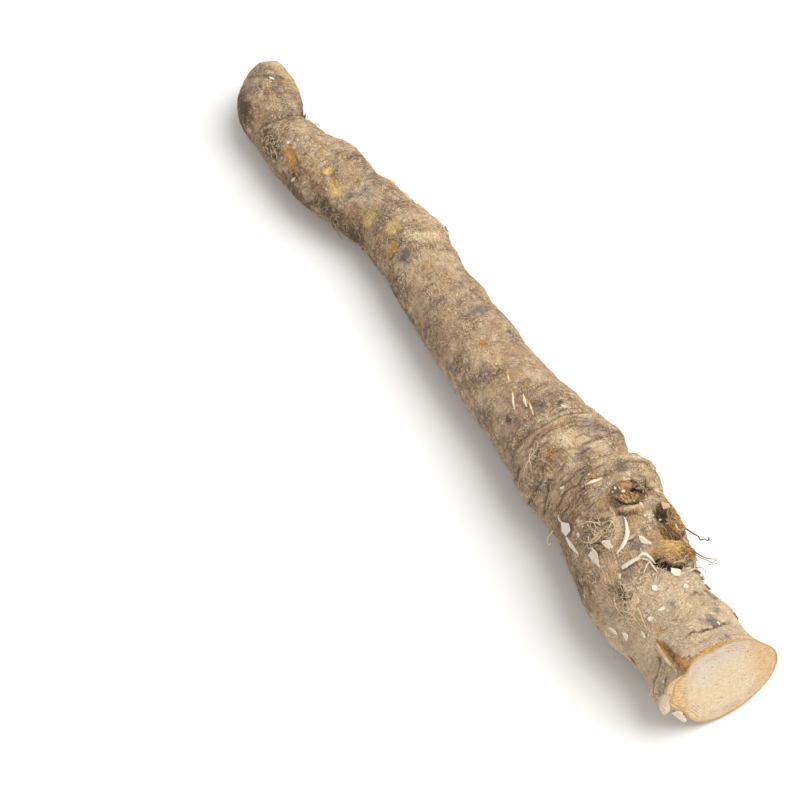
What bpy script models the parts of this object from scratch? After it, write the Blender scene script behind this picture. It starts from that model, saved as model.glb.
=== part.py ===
"""A horseradish root lying on a flat surface: a taproot with its crown cut off at +X and a bent tail at -X.

The root grew in one piece, so it is one solid. It is a tube swept along a bent middle line. Formulas raise
and hollow its surface: growth rings, side-root scars, a bud with a hollow beside it, a furrow in the crown.
A place on the surface is (x, turn): x in millimetres along the root, turn in degrees round it, with 0 at
the top, 90 on the far side (+Y), -90 on the near side (-Y) and 180 underneath.
"""
import bpy
import numpy as np

MM = 0.001

# The middle line and the girth, in millimetres: x, y of the middle, half width, half height, gap below.
# A negative gap is pressed flat, and makes the spots that the root rests on.
STATIONS = np.array([
    (-162.6, 1.8, 11.2, 10.4, 4.0),
    (-152, -5.0, 11.9, 11.2, 2.0),
    (-140, -10.1, 12.3, 11.6, 0.3),
    (-127, -11.3, 11.6, 11.3, -0.8),
    (-115, -9.4, 12.4, 11.8, 0.2),
    (-104, -6.8, 13.6, 12.7, 0.6),
    (-93, -3.8, 13.5, 12.7, 0.5),
    (-82, -0.7, 12.7, 12.3, 0.3),
    (-72, 2.2, 12.8, 12.6, -0.2),
    (-61, 3.9, 13.7, 13.6, -0.8),
    (-49, 3.7, 13.6, 13.4, 0.1),
    (-38, 2.3, 13.3, 13.0, 0.8),
    (-15, 1.9, 14.4, 13.8, 1.5),
    (7, 2.0, 15.2, 14.6, 1.6),
    (28, 2.8, 16.2, 15.6, 1.2),
    (48, 4.0, 18.8, 17.8, 0.4),
    (58, 4.5, 19.4, 18.6, 0.0),
    (68, 5.3, 19.4, 18.8, -0.5),
    (78, 5.5, 20.2, 19.8, -0.9),
    (88, 3.8, 20.2, 20.0, -0.9),
    (98, 1.7, 20.1, 19.5, -0.2),
    (108, -0.7, 19.8, 18.6, 0.8),
    (117, -1.0, 18.6, 17.6, 1.4),
    (127, 0.1, 17.9, 17.0, 1.5),
    (136, 1.2, 17.8, 17.2, 1.2),
    (144, 2.8, 18.7, 18.2, 0.9),
    (151.6, 4.6, 19.4, 18.8, 0.8),
], float)
TAIL_X, CUT_X = STATIONS[0, 0], STATIONS[-1, 0]
TIP_LENGTH = 18.0
TIP_BLUNTNESS = 0.72

# The cut leans back by this many degrees. The rings of the mesh turn into its plane from CUT_BLEND_X on.
CUT_LEAN = 11.0
CUT_BLEND_X = 118.0

# The slope of the middle line is measured between points this far on either side, in millimetres.
SLOPE_STEP = 0.5

# Swellings and hollows: x, turn, reach along in mm, reach round in degrees, height in mm.
BUMPS = (
    # the bent tail and the shoulder after its neck
    (-124, 68, 6, 34, 1.0),
    (-133, 82, 2.4, 42, -0.8),
    (-130, -112, 7, 34, -1.3),
    (-153, -66, 5, 34, -0.9),
    (-111, -39, 3.4, 13, -0.5),
    (-104, -104, 12, 34, 0.5),
    (-88, 60, 3, 26, -0.7),
    (-105, 60, 8, 30, 0.7),
    # the worn joints between the tail and the middle
    (-80, 62, 5, 24, 0.8),
    (-55, 66, 4.5, 36, 1.0),
    (-32, 66, 8, 30, 0.7),
    (-17, 60, 5, 30, -0.5),
    (-65, -88, 5, 22, 0.4),
    # the middle
    (-5, -14, 2.2, 9, -0.5),
    (1, 62, 3, 26, 0.3),
    (9, 66, 4, 28, 0.3),
    (42, 66, 4, 28, -0.7),
    (44, -105, 4, 28, -0.7),
    # the shoulder of the knob
    (55, -110, 8, 34, 0.7),
    (54.8, -13, 5, 15, 0.4),
    (52.8, -48, 4, 13, 0.6),
    (69.1, -14, 3.6, 11, 0.5),
    (58, 70, 3.4, 26, 0.7),
    (65.3, 62, 2.2, 26, -1.5),
    (75, 66, 4.6, 32, 1.7),
    (81, 76, 4, 20, -1.2),
    # the eye, a closed side-root scar inside a swelling
    (86.2, 7, 9, 28, 0.9),
    (86, 7, 3.4, 12.5, -3.2),
    (86.4, 4, 1.7, 6, 1.8),
    # the side hollow with its bud
    (94, 36, 3.2, 10, -3.4),
    (100.5, 34, 3.4, 14, -2.0),
    (107.2, 38, 3.4, 28, 2.2),
    (107, 22, 2.6, 9, 0.8),
    # side-root scars of the near side
    (95.3, -32, 5.5, 17, 0.9),
    (95.3, -32, 2.0, 7, -0.6),
    (114.1, -42, 3.6, 12, 0.6),
    (70, -62, 5, 18, 0.5),
    # the crown: flattened above the far side, flared at the cut, with a lobe on the near side
    (119, -108, 4, 30, 0.6),
    (130, -112, 5, 30, -0.5),
    (146, 64, 7, 24, -2.0),
    (134, 64, 5, 24, 0.8),
    (151, 40, 8, 30, -1.8),
    (153, 108, 6, 30, 1.6),
    (153, 152, 5, 26, 0.6),
    (153, -124, 4, 26, -1.6),
    (150, -35, 6, 12, 2.4),
    (148, -70, 5, 16, 1.7),
    (142, -103, 4.6, 22, 3.0),
    (150.5, -92, 3.2, 9, 2.2),
)

# Raised rims of oval scars: x, turn, half length in mm, half breadth in degrees, height in mm.
RIMS = (
    (86.2, 8, 5.0, 18, 1.3),
    (95.3, -32, 5.2, 15, 0.7),
    (52.8, -48, 4.0, 12, 0.4),
    (114.1, -42, 3.8, 11, 0.4),
)
RIM_THICKNESS = 0.32

# Creases (negative) and ridges: height in mm, half width in mm, then the (x, turn) points of each.
STROKES = (
    (-0.9, 1.5, ((-134, -75), (-131.5, -30), (-129.5, 8), (-131, 45), (-133, 80), (-134, 120))),
    (-0.4, 1.2, ((-95.8, 5), (-96, 30), (-95, 60))),
    (-0.4, 1.2, ((-84, 8), (-84, 28), (-82, 55))),
    (0.7, 1.5, ((-53, -15), (-52, 10), (-51.5, 40), (-53, 80))),
    (-0.6, 1.4, ((-48.5, 5), (-47.8, 35), (-49, 80), (-50, 120))),
    (-0.6, 1.1, ((47.5, -40), (45.9, -21), (45.7, 4), (47.4, 35), (50.5, 62), (54, 92))),
    (-0.6, 1.1, ((50.5, -40), (48.6, -23), (49.9, 2), (52.3, 45), (56, 82))),
    (-0.7, 1.2, ((62, -18), (60.4, 0), (60.7, 13), (61.2, 52), (63, 84))),
    (-0.9, 1.3, ((70.5, -34), (67.4, -8), (66.8, 12), (66.9, 46), (66.2, 75), (67, 115))),
    (0.7, 1.4, ((71.5, -22), (69.8, 8), (70.6, 36), (71.5, 70))),
    (-0.6, 1.2, ((78, -28), (75.8, -2), (76.6, 24), (79.5, 50))),
    (-0.8, 1.3, ((58.5, -33), (61.2, -45), (62.6, -60), (64.7, -80), (67, -102))),
    (-0.5, 1.3, ((76, -48), (79, -62), (80, -84))),
    (-2.0, 1.3, ((81.8, 4), (82.4, 16), (84, 27), (87.5, 33))),
    (0.8, 1.3, ((88, -14), (91.4, -6), (92.4, 5), (90.8, 17))),
    (1.1, 1.8, ((86, 38), (91, 49), (96, 57), (101, 60))),
    (-3.2, 1.6, ((108, -6), (110, 8), (113.4, 18), (115, 33), (115.3, 50), (114, 72))),
    (0.5, 2.0, ((112.5, -4), (117.5, 16), (119.5, 46))),
    (-0.6, 1.5, ((107, -18), (106.9, -33), (106.2, -53), (104, -80))),
    (-0.8, 1.4, ((140.7, -14), (142.5, 8), (143, 26), (141.2, 44), (139.5, 66))),
    (-1.3, 1.4, ((130.5, -49), (136, -46.5), (141, -45), (147, -46))),
    (-0.9, 1.3, ((137.5, -54), (142, -60), (147, -66))),
    (-0.8, 1.3, ((139.5, -70), (143, -80), (147.5, -84))),
)

# Each crease and ridge fades in and out over this share of its length.
STROKE_FADE = 0.2

# Flat places: a direction, and how far out along it the root still reaches, in millimetres.
TIP_FACET = ((-0.622, 0.301, 0.723), 111.5)
CROWN_SLICE = ((0.890, -0.423, 0.173), 142.3)
GROUND = ((0.0, 0.0, -1.0), 0.0)

# Slow swells that keep the girth uneven: their number, their height together, their least and greatest
# length, below how many times each runs round the root, and the seed that they come from.
SWELLS = 26
SWELL_HEIGHT = 0.24
SWELL_LENGTHS = (18, 70)
SWELL_ROUNDS = 5
SWELL_SEED = 11

# The relief fades where the root is pressed down: from this turn on, over so many degrees, by this share.
UNDER_TURN = 125
UNDER_REACH = 40
UNDER_FADE = 0.8

# Where the middle of the finished root's box lies before it is moved over the origin.
BOX_MIDDLE = (-3.854, 1.979)

# The mesh: its sides stand closer together round CROWDED_TURN, where the eye and the hollow are.
SIDES = 42
CROWDING = 0.28
CROWDED_TURN = 20.0
CAP_RINGS = 3

# Its rings: how many the tip, the middle and the crown have, and where each stretch of them ends.
TIP_GAP = 0.15
TIP_SPAN = 15.0
TIP_RINGS = 9
TIP_CROWDING = 1.6
MIDDLE_RINGS = 60
MIDDLE_END_X = 40.0
CROWN_RINGS = 63

BARK_COLOUR = (0.36, 0.25, 0.16, 1.0)
BARK_ROUGHNESS = 0.85


def smooth(knots, values, at):
    """A smooth curve through the values at the knots, read at each point of at."""
    slopes = np.gradient(values, knots)
    i = np.clip(np.searchsorted(knots, at, side="right") - 1, 0, len(knots) - 2)
    span = knots[i + 1] - knots[i]
    t = (at - knots[i]) / span
    start = (1 + 2 * t) * (1 - t) ** 2 * values[i] + t * (1 - t) ** 2 * span * slopes[i]
    end = t * t * (3 - 2 * t) * values[i + 1] + t * t * (t - 1) * span * slopes[i + 1]
    return start + end


def column(index, x):
    return smooth(STATIONS[:, 0], STATIONS[:, index], x)


def ease(t):
    t = np.clip(t, 0, 1)
    return t * t * (3 - 2 * t)


def turn_between(turn, start):
    return (turn - start + 180) % 360 - 180


def bump(x, turn, at_x, at_turn, along, around):
    """1 at a place on the surface, falling to 0 round it."""
    return np.exp(-((x - at_x) / along) ** 2 - (turn_between(turn, at_turn) / around) ** 2)


def rim(x, turn, at_x, at_turn, along, around):
    """1 on an oval round a place on the surface, falling to 0 inside and outside it."""
    reach = np.hypot((x - at_x) / along, turn_between(turn, at_turn) / around)
    return np.exp(-((reach - 1) / RIM_THICKNESS) ** 2)


def stroke(x, turn, path, half_width):
    """1 on a path over the surface, falling to 0 beside it and towards its ends."""
    path = np.array(path, float)
    middle = path[:, 1].mean()
    mm_per_degree = np.radians(column(2, path[:, 0].mean()))
    across = turn_between(turn, middle) * mm_per_degree
    corners = np.stack([path[:, 0], (path[:, 1] - middle) * mm_per_degree], -1)
    lengths = np.linalg.norm(np.diff(corners, axis=0), axis=1)
    before = np.concatenate([[0], np.cumsum(lengths)])
    nearest = np.full(x.shape, np.inf)
    run = np.zeros(x.shape)
    for i, length in enumerate(lengths):
        ahead = (corners[i + 1] - corners[i]) / length
        from_x = x - corners[i, 0]
        from_across = across - corners[i, 1]
        along = np.clip(from_x * ahead[0] + from_across * ahead[1], 0, length)
        distance = np.hypot(from_x - along * ahead[0], from_across - along * ahead[1])
        run = np.where(distance < nearest, (before[i] + along) / before[-1], run)
        nearest = np.minimum(nearest, distance)
    fade = ease(run / STROKE_FADE) * ease((1 - run) / STROKE_FADE)
    return np.exp(-(nearest / half_width) ** 2) * fade


def swells(x, turn):
    """A sum of slow waves, each running round the root a whole number of times."""
    rng = np.random.default_rng(SWELL_SEED)
    total = np.zeros(x.shape)
    for _ in range(SWELLS):
        length = rng.uniform(*SWELL_LENGTHS)
        rounds = rng.integers(0, SWELL_ROUNDS)
        phase = rng.uniform(0, 2 * np.pi)
        total += np.sin(2 * np.pi * x / length + np.radians(turn) * rounds + phase)
    return SWELL_HEIGHT * total / np.sqrt(SWELLS / 2)


def relief(x, turn):
    """How far the bark stands out from the plain tube at x and turn, in millimetres."""
    height = swells(x, turn)
    for at_x, at_turn, along, around, rise in BUMPS:
        height = height + rise * bump(x, turn, at_x, at_turn, along, around)
    for at_x, at_turn, along, around, rise in RIMS:
        height = height + rise * rim(x, turn, at_x, at_turn, along, around)
    for rise, half_width, path in STROKES:
        height = height + rise * stroke(x, turn, path, half_width)
    underneath = ease((np.abs(turn_between(turn, 0)) - UNDER_TURN) / UNDER_REACH)
    return height * (1 - UNDER_FADE * underneath)


def unit(vectors):
    return vectors / np.linalg.norm(vectors, axis=-1, keepdims=True)


def middle_line(x):
    return np.stack([x, column(1, x), column(3, x) + column(4, x)], -1)


def surface(x, turn, rise):
    """Points of the bark at x and turn, standing out by rise: three arrays of one shape."""
    width, height = column(2, x), column(3, x)
    ahead = unit(middle_line(x + SLOPE_STEP) - middle_line(x - SLOPE_STEP))
    lean = np.radians(CUT_LEAN)
    blend = ease((x - CUT_BLEND_X) / (CUT_X - CUT_BLEND_X))[..., None]
    ahead = unit(ahead * (1 - blend) + np.array([np.cos(lean), 0.0, np.sin(lean)]) * blend)
    side = unit(np.cross([0.0, 0.0, 1.0], ahead))
    up = np.cross(ahead, side)
    from_tip = np.clip((x - TAIL_X) / TIP_LENGTH, 0, 1)
    blunt = np.clip(1 - (1 - from_tip) ** 2, 0, 1) ** TIP_BLUNTNESS
    angle = np.radians(turn)
    sideways = ((width + rise) * blunt * np.sin(angle))[..., None] * side
    upwards = ((height + rise) * blunt * np.cos(angle))[..., None] * up
    return middle_line(x) + sideways + upwards


def flattened(points):
    """The points pressed back to the facet of the tip, the slice beside the furrow, and the ground."""
    for direction, reach in (TIP_FACET, CROWN_SLICE, GROUND):
        beyond = np.maximum(points @ np.array(direction) - reach, 0)
        points = points - beyond[..., None] * np.array(direction)
    return points


def ring_places():
    """The x of each ring: close together at the tip and over the knob and crown, wider apart between."""
    tip = TAIL_X + TIP_GAP + TIP_SPAN * np.linspace(0, 1, TIP_RINGS) ** TIP_CROWDING
    middle = np.linspace(tip[-1], MIDDLE_END_X, MIDDLE_RINGS + 1)[1:]
    crown = np.linspace(MIDDLE_END_X, CUT_X, CROWN_RINGS + 1)[1:]
    return np.concatenate([tip, middle, crown])


def root_mesh():
    even = np.arange(SIDES) * 360.0 / SIDES
    turn = even - np.degrees(CROWDING * np.sin(np.radians(even - CROWDED_TURN)))
    grid_x, grid_turn = np.meshgrid(ring_places(), turn, indexing="ij")
    rings = surface(grid_x, grid_turn, relief(grid_x, grid_turn))
    middle = rings[-1].mean(0)
    caps = [middle + (rings[-1] - middle) * (1 - k / (CAP_RINGS + 1)) for k in range(1, CAP_RINGS + 1)]
    rings = np.concatenate([rings, np.array(caps)])
    points = flattened(np.concatenate([rings.reshape(-1, 3), [rings[0].mean(0)], [middle]]))
    points[:, 0] -= BOX_MIDDLE[0]
    points[:, 1] -= BOX_MIDDLE[1]
    faces = []
    count = len(rings)
    for r in range(count - 1):
        for k in range(SIDES):
            n = (k + 1) % SIDES
            faces.append((r * SIDES + k, (r + 1) * SIDES + k, (r + 1) * SIDES + n, r * SIDES + n))
    tip, end = count * SIDES, count * SIDES + 1
    for k in range(SIDES):
        n = (k + 1) % SIDES
        faces.append((tip, k, n))
        faces.append((end, (count - 1) * SIDES + n, (count - 1) * SIDES + k))
    mesh = bpy.data.meshes.new("root")
    mesh.from_pydata([tuple(p * MM) for p in points], [], faces)
    on_cut = (count - 1 - CAP_RINGS) * SIDES
    for polygon in mesh.polygons:
        polygon.use_smooth = min(polygon.vertices) < on_cut
    mesh.update()
    return mesh


def bark():
    material = bpy.data.materials.new("bark")
    material.use_nodes = True
    shader = material.node_tree.nodes["Principled BSDF"]
    shader.inputs["Base Color"].default_value = BARK_COLOUR
    shader.inputs["Roughness"].default_value = BARK_ROUGHNESS
    shader.inputs["Metallic"].default_value = 0.0
    return material


def main():
    for obj in list(bpy.data.objects):
        bpy.data.objects.remove(obj)
    root = bpy.data.objects.new("root", root_mesh())
    root.data.materials.append(bark())
    bpy.context.scene.collection.objects.link(root)


main()
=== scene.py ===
"""The looks of a horseradish root that lies on a pale floor.

The root's form follows the same formulas as its solid, at a finer step, with the folds, cracks and pits of
its bark added as real relief. Marks on the bark, such as worn spots and stains, are soft masks on the mesh,
and the bark's nodes break them up with noise. Some marks are painted shade: the wide dark spots of the near,
lower flank, the dark and black lines in the creases and crevices, and the darkening of the eye and the side
hollow. The bark's nodes also darken its creases and lighten its raised grain, partly as dirt and partly as
painted shade and painted light. Shavings, torn bark, rootlets and fibres are meshes of their own that lie on
that surface.

A place on the root is (x, turn): x in millimetres along it, turn in degrees round it, with 0 at the top, 90
on the far side (+Y), -90 on the near side (-Y) and 180 underneath. The tables of form and marks use such
places.
"""

import bpy
import numpy as np
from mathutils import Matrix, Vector


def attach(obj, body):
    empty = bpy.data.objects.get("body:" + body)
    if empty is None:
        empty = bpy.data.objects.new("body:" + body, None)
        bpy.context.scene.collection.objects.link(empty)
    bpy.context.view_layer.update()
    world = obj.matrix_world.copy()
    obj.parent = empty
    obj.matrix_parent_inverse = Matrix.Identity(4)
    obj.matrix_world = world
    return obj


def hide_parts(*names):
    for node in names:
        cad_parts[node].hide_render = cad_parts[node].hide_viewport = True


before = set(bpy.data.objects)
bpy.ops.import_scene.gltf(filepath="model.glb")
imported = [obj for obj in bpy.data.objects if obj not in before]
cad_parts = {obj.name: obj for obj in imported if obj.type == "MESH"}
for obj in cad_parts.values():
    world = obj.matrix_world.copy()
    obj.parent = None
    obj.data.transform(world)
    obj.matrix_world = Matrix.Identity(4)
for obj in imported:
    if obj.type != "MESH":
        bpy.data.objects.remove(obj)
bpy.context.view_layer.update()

MM = 0.001

# The camera stands where the photograph was taken from: angles in degrees, distances in metres, lens and
# sensor in millimetres.
CAMERA_AZIMUTH = 61.0
CAMERA_ELEVATION = 55.0
CAMERA_DISTANCE = 0.95
CAMERA_LENS = 120.0
CAMERA_SENSOR = 36.0
CAMERA_TARGET = (-0.004046, -0.029479, 0.0)

# The middle line and the girth, in millimetres: x, y of the middle, half width, half height, gap below.
# A negative gap is pressed flat, and makes the spots that the root rests on.
STATIONS = np.array([
    (-162.6, 1.8, 11.2, 10.4, 4.0),
    (-152, -5.0, 11.9, 11.2, 2.0),
    (-140, -10.1, 12.3, 11.6, 0.3),
    (-127, -11.3, 11.6, 11.3, -0.8),
    (-115, -9.4, 12.4, 11.8, 0.2),
    (-104, -6.8, 13.6, 12.7, 0.6),
    (-93, -3.8, 13.5, 12.7, 0.5),
    (-82, -0.7, 12.7, 12.3, 0.3),
    (-72, 2.2, 12.8, 12.6, -0.2),
    (-61, 3.9, 13.7, 13.6, -0.8),
    (-49, 3.7, 13.6, 13.4, 0.1),
    (-38, 2.3, 13.3, 13.0, 0.8),
    (-15, 1.9, 14.4, 13.8, 1.5),
    (7, 2.0, 15.2, 14.6, 1.6),
    (28, 2.8, 16.2, 15.6, 1.2),
    (48, 4.0, 18.8, 17.8, 0.4),
    (58, 4.5, 19.4, 18.6, 0.0),
    (68, 5.3, 19.4, 18.8, -0.5),
    (78, 5.5, 20.2, 19.8, -0.9),
    (88, 3.8, 20.2, 20.0, -0.9),
    (98, 1.7, 20.1, 19.5, -0.2),
    (108, -0.7, 19.8, 18.6, 0.8),
    (117, -1.0, 18.6, 17.6, 1.4),
    (127, 0.1, 17.9, 17.0, 1.5),
    (136, 1.2, 17.8, 17.2, 1.2),
    (144, 2.8, 18.7, 18.2, 0.9),
    (151.6, 4.6, 19.4, 18.8, 0.8),
], float)
TAIL_X, CUT_X = STATIONS[0, 0], STATIONS[-1, 0]
TIP_LENGTH = 18.0
TIP_BLUNTNESS = 0.72

# The cut leans back by this many degrees. The rings of the mesh turn into its plane from CUT_BLEND_X on.
CUT_LEAN = 11.0
CUT_BLEND_X = 118.0

# The slope of the middle line is measured between points this far on either side, in millimetres.
SLOPE_STEP = 0.5

# Swellings and hollows: x, turn, reach along in mm, reach round in degrees, height in mm.
BUMPS = (
    # the bent tail and the shoulder after its neck
    (-124, 68, 6, 34, 1.0),
    (-133, 82, 2.4, 42, -0.8),
    (-130, -112, 7, 34, -1.3),
    (-153, -66, 5, 34, -0.9),
    (-111, -39, 3.4, 13, -0.5),
    (-104, -104, 12, 34, 0.5),
    (-88, 60, 3, 26, -0.7),
    (-105, 60, 8, 30, 0.7),
    # the worn joints between the tail and the middle
    (-80, 62, 5, 24, 0.8),
    (-55, 66, 4.5, 36, 1.0),
    (-32, 66, 8, 30, 0.7),
    (-17, 60, 5, 30, -0.5),
    (-65, -88, 5, 22, 0.4),
    # the middle
    (-5, -14, 2.2, 9, -0.5),
    (1, 62, 3, 26, 0.3),
    (9, 66, 4, 28, 0.3),
    (42, 66, 4, 28, -0.7),
    (44, -105, 4, 28, -0.7),
    # the shoulder of the knob
    (55, -110, 8, 34, 0.7),
    (54.8, -13, 5, 15, 0.4),
    (52.8, -48, 4, 13, 0.6),
    (69.1, -14, 3.6, 11, 0.5),
    (58, 70, 3.4, 26, 0.7),
    (65.3, 62, 2.2, 26, -1.5),
    (75, 66, 4.6, 32, 1.7),
    (81, 76, 4, 20, -1.2),
    # the eye, a closed side-root scar inside a swelling
    (86.2, 7, 9, 28, 0.9),
    (86, 7, 3.4, 12.5, -3.2),
    (86.4, 4, 1.7, 6, 1.8),
    # the side hollow with its bud
    (94, 36, 3.2, 10, -3.4),
    (100.5, 34, 3.4, 14, -2.0),
    (107.2, 38, 3.4, 28, 2.2),
    (107, 22, 2.6, 9, 0.8),
    # side-root scars of the near side
    (95.3, -32, 5.5, 17, 0.9),
    (95.3, -32, 2.0, 7, -0.6),
    (114.1, -42, 3.6, 12, 0.6),
    (70, -62, 5, 18, 0.5),
    # the crown: flattened above the far side, flared at the cut, with a lobe on the near side
    (119, -108, 4, 30, 0.6),
    (130, -112, 5, 30, -0.5),
    (146, 64, 7, 24, -2.0),
    (134, 64, 5, 24, 0.8),
    (151, 40, 8, 30, -1.8),
    (153, 108, 6, 30, 1.6),
    (153, 152, 5, 26, 0.6),
    (153, -124, 4, 26, -1.6),
    (150, -35, 6, 12, 2.4),
    (148, -70, 5, 16, 1.7),
    (142, -103, 4.6, 22, 3.0),
    (150.5, -92, 3.2, 9, 2.2),
)

# Raised rims of oval scars: x, turn, half length in mm, half breadth in degrees, height in mm.
RIMS = (
    (86.2, 8, 5.0, 18, 1.3),
    (95.3, -32, 5.2, 15, 0.7),
    (52.8, -48, 4.0, 12, 0.4),
    (114.1, -42, 3.8, 11, 0.4),
)
RIM_THICKNESS = 0.32

# Creases (negative) and ridges: height in mm, half width in mm, then the (x, turn) points of each.
STROKES = (
    (-0.9, 1.5, ((-134, -75), (-131.5, -30), (-129.5, 8), (-131, 45), (-133, 80), (-134, 120))),
    (-0.4, 1.2, ((-95.8, 5), (-96, 30), (-95, 60))),
    (-0.4, 1.2, ((-84, 8), (-84, 28), (-82, 55))),
    (0.7, 1.5, ((-53, -15), (-52, 10), (-51.5, 40), (-53, 80))),
    (-0.6, 1.4, ((-48.5, 5), (-47.8, 35), (-49, 80), (-50, 120))),
    (-0.6, 1.1, ((47.5, -40), (45.9, -21), (45.7, 4), (47.4, 35), (50.5, 62), (54, 92))),
    (-0.6, 1.1, ((50.5, -40), (48.6, -23), (49.9, 2), (52.3, 45), (56, 82))),
    (-0.7, 1.2, ((62, -18), (60.4, 0), (60.7, 13), (61.2, 52), (63, 84))),
    (-0.9, 1.3, ((70.5, -34), (67.4, -8), (66.8, 12), (66.9, 46), (66.2, 75), (67, 115))),
    (0.7, 1.4, ((71.5, -22), (69.8, 8), (70.6, 36), (71.5, 70))),
    (-0.6, 1.2, ((78, -28), (75.8, -2), (76.6, 24), (79.5, 50))),
    (-0.8, 1.3, ((58.5, -33), (61.2, -45), (62.6, -60), (64.7, -80), (67, -102))),
    (-0.5, 1.3, ((76, -48), (79, -62), (80, -84))),
    (-2.0, 1.3, ((81.8, 4), (82.4, 16), (84, 27), (87.5, 33))),
    (0.8, 1.3, ((88, -14), (91.4, -6), (92.4, 5), (90.8, 17))),
    (1.1, 1.8, ((86, 38), (91, 49), (96, 57), (101, 60))),
    (-3.2, 1.6, ((108, -6), (110, 8), (113.4, 18), (115, 33), (115.3, 50), (114, 72))),
    (0.5, 2.0, ((112.5, -4), (117.5, 16), (119.5, 46))),
    (-0.6, 1.5, ((107, -18), (106.9, -33), (106.2, -53), (104, -80))),
    (-0.8, 1.4, ((140.7, -14), (142.5, 8), (143, 26), (141.2, 44), (139.5, 66))),
    (-1.3, 1.4, ((130.5, -49), (136, -46.5), (141, -45), (147, -46))),
    (-0.9, 1.3, ((137.5, -54), (142, -60), (147, -66))),
    (-0.8, 1.3, ((139.5, -70), (143, -80), (147.5, -84))),
)

# Each crease and ridge fades in and out over this share of its length.
STROKE_FADE = 0.2

# Flat places: a direction, and how far out along it the root still reaches, in millimetres.
TIP_FACET = ((-0.622, 0.301, 0.723), 111.5)
CROWN_SLICE = ((0.890, -0.423, 0.173), 142.3)
GROUND = ((0.0, 0.0, -1.0), 0.0)

# Slow swells that keep the girth uneven: their number, their height together, their least and greatest
# length, below how many times each runs round the root, and the seed that they come from.
SWELLS = 26
SWELL_HEIGHT = 0.24
SWELL_LENGTHS = (18, 70)
SWELL_ROUNDS = 5
SWELL_SEED = 11

# The relief fades where the root is pressed down: from this turn on, over so many degrees, by this share.
UNDER_TURN = 125
UNDER_REACH = 40
UNDER_FADE = 0.8

# Where the middle of the root's box lies before it is moved over the origin.
BOX_MIDDLE = (-3.854, 1.979)

# The fine mesh: how many sides it has, and by what share they crowd towards this turn. Each span of rings has
# its start, its end and how many there are, most of them where most happens.
SIDES = 140
CROWDING = 0.3
CROWDED_TURN = -15
RING_SPANS = ((-148, -98, 104), (-98, 40, 210), (40, CUT_X, 276))

# The rings of the tip start this far from its end, in millimetres, and crowd towards it by this power.
TIP_RINGS = 44
TIP_START = 0.05
TIP_POWER = 1.8

# The cut face: its rings, how far it is dished in its middle and over what distance, and the marks of the
# knife, with their height, size and seed, and how far from the rim they are full. All in millimetres.
CUT_RINGS = 26
DISH_DEPTH = 0.35
DISH_REACH = 14.0
KNIFE_HEIGHT = 0.26
KNIFE_SIZE = (1.0, 7.0, 1.1)
KNIFE_SEED = 81
KNIFE_FROM_RIM = 1.5

# The slice shows flesh from where it cuts this deep, in millimetres.
SLICE_DEPTH = 0.9

# How strongly the bark is folded across, and how rough it is, along the root.
FOLDING = np.array([
    (-163, 0.3), (-140, 0.35), (-131, 1.0), (-118, 0.7), (-100, 0.5), (-70, 0.55), (-52, 0.9), (-42, 0.6),
    (-15, 0.4), (25, 0.4), (42, 0.8), (50, 1.1), (72, 1.1), (82, 0.8), (96, 0.5), (118, 0.4), (132, 0.35),
    (142, 0.7), (152, 0.5),
])
ROUGHNESS_ALONG = np.array([
    (-163, 2.6), (-156, 1.9), (-146, 0.8), (-128, 1.2), (-112, 1.2), (-100, 0.9), (-60, 1.0), (-20, 0.9),
    (40, 0.9), (75, 1.0), (100, 1.1), (118, 0.8), (140, 0.7), (152, 0.8),
])
# Places that are rougher than the rest: x, turn, reach along in mm, reach round in degrees, how much rougher.
COARSE = (
    (-120, -48, 9, 32, 2.4),
    (-9, -16, 7, 16, 0.8),
    (86.3, 7, 4, 14, 1.8),
    (99, 38, 5, 16, 2),
    (107.5, 32, 3.4, 28, 2.2),
    (95.2, -32, 4.4, 13, 1.8),
    (114, -40, 4, 12, 1.2),
    (145, -80, 6, 26, 1.2),
)

# The bark's grain: height in mm, size in mm, seed. The rough grain and the winding cracks are stronger where
# the bark is rough and longer round the root than along it. They bend: how far in mm, size in mm, first seed.
GRAIN = ((0.25, 9.0, 41), (0.4, 3.2, 42))
ROUGH_GRAIN = (0.34, (1.1, 1.9, 1.9), 61)
CRACKS = (0.16, (1.7, 3.4, 3.4), 62)
CRACK_SHARPNESS = 5
CRACK_LEVEL = 0.25
BEND = (2.2, 2.4, 36)

# Grooves that run round the root, wide ones and narrow ones: depth in mm, spacing in mm, first seed.
GROOVES = ((0.62, 4.4, 31), (0.34, 1.9, 34))
# They sway by noise of two sizes: how far and over what length, in mm.
GROOVE_SWAYS = ((6.0, 10.0), (1.2, 2.6))
# Each shows in patches of its own, this wide in mm. It starts where their noise is over the level, and is
# full where the noise is over it by the rise.
GROOVE_PATCH = 5.5
GROOVE_APART = 3.7
GROOVE_LEVEL = 0.36
GROOVE_RISE = 0.3
# Its half width as a share of the spacing, on the steep side towards the tail and on the other.
GROOVE_WIDTHS = (0.07, 0.2)

# How the folds below wander off their paths: degrees from side to side, size in mm, seed.
FOLD_WANDER = (3.0, 2.0, 39)
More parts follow.
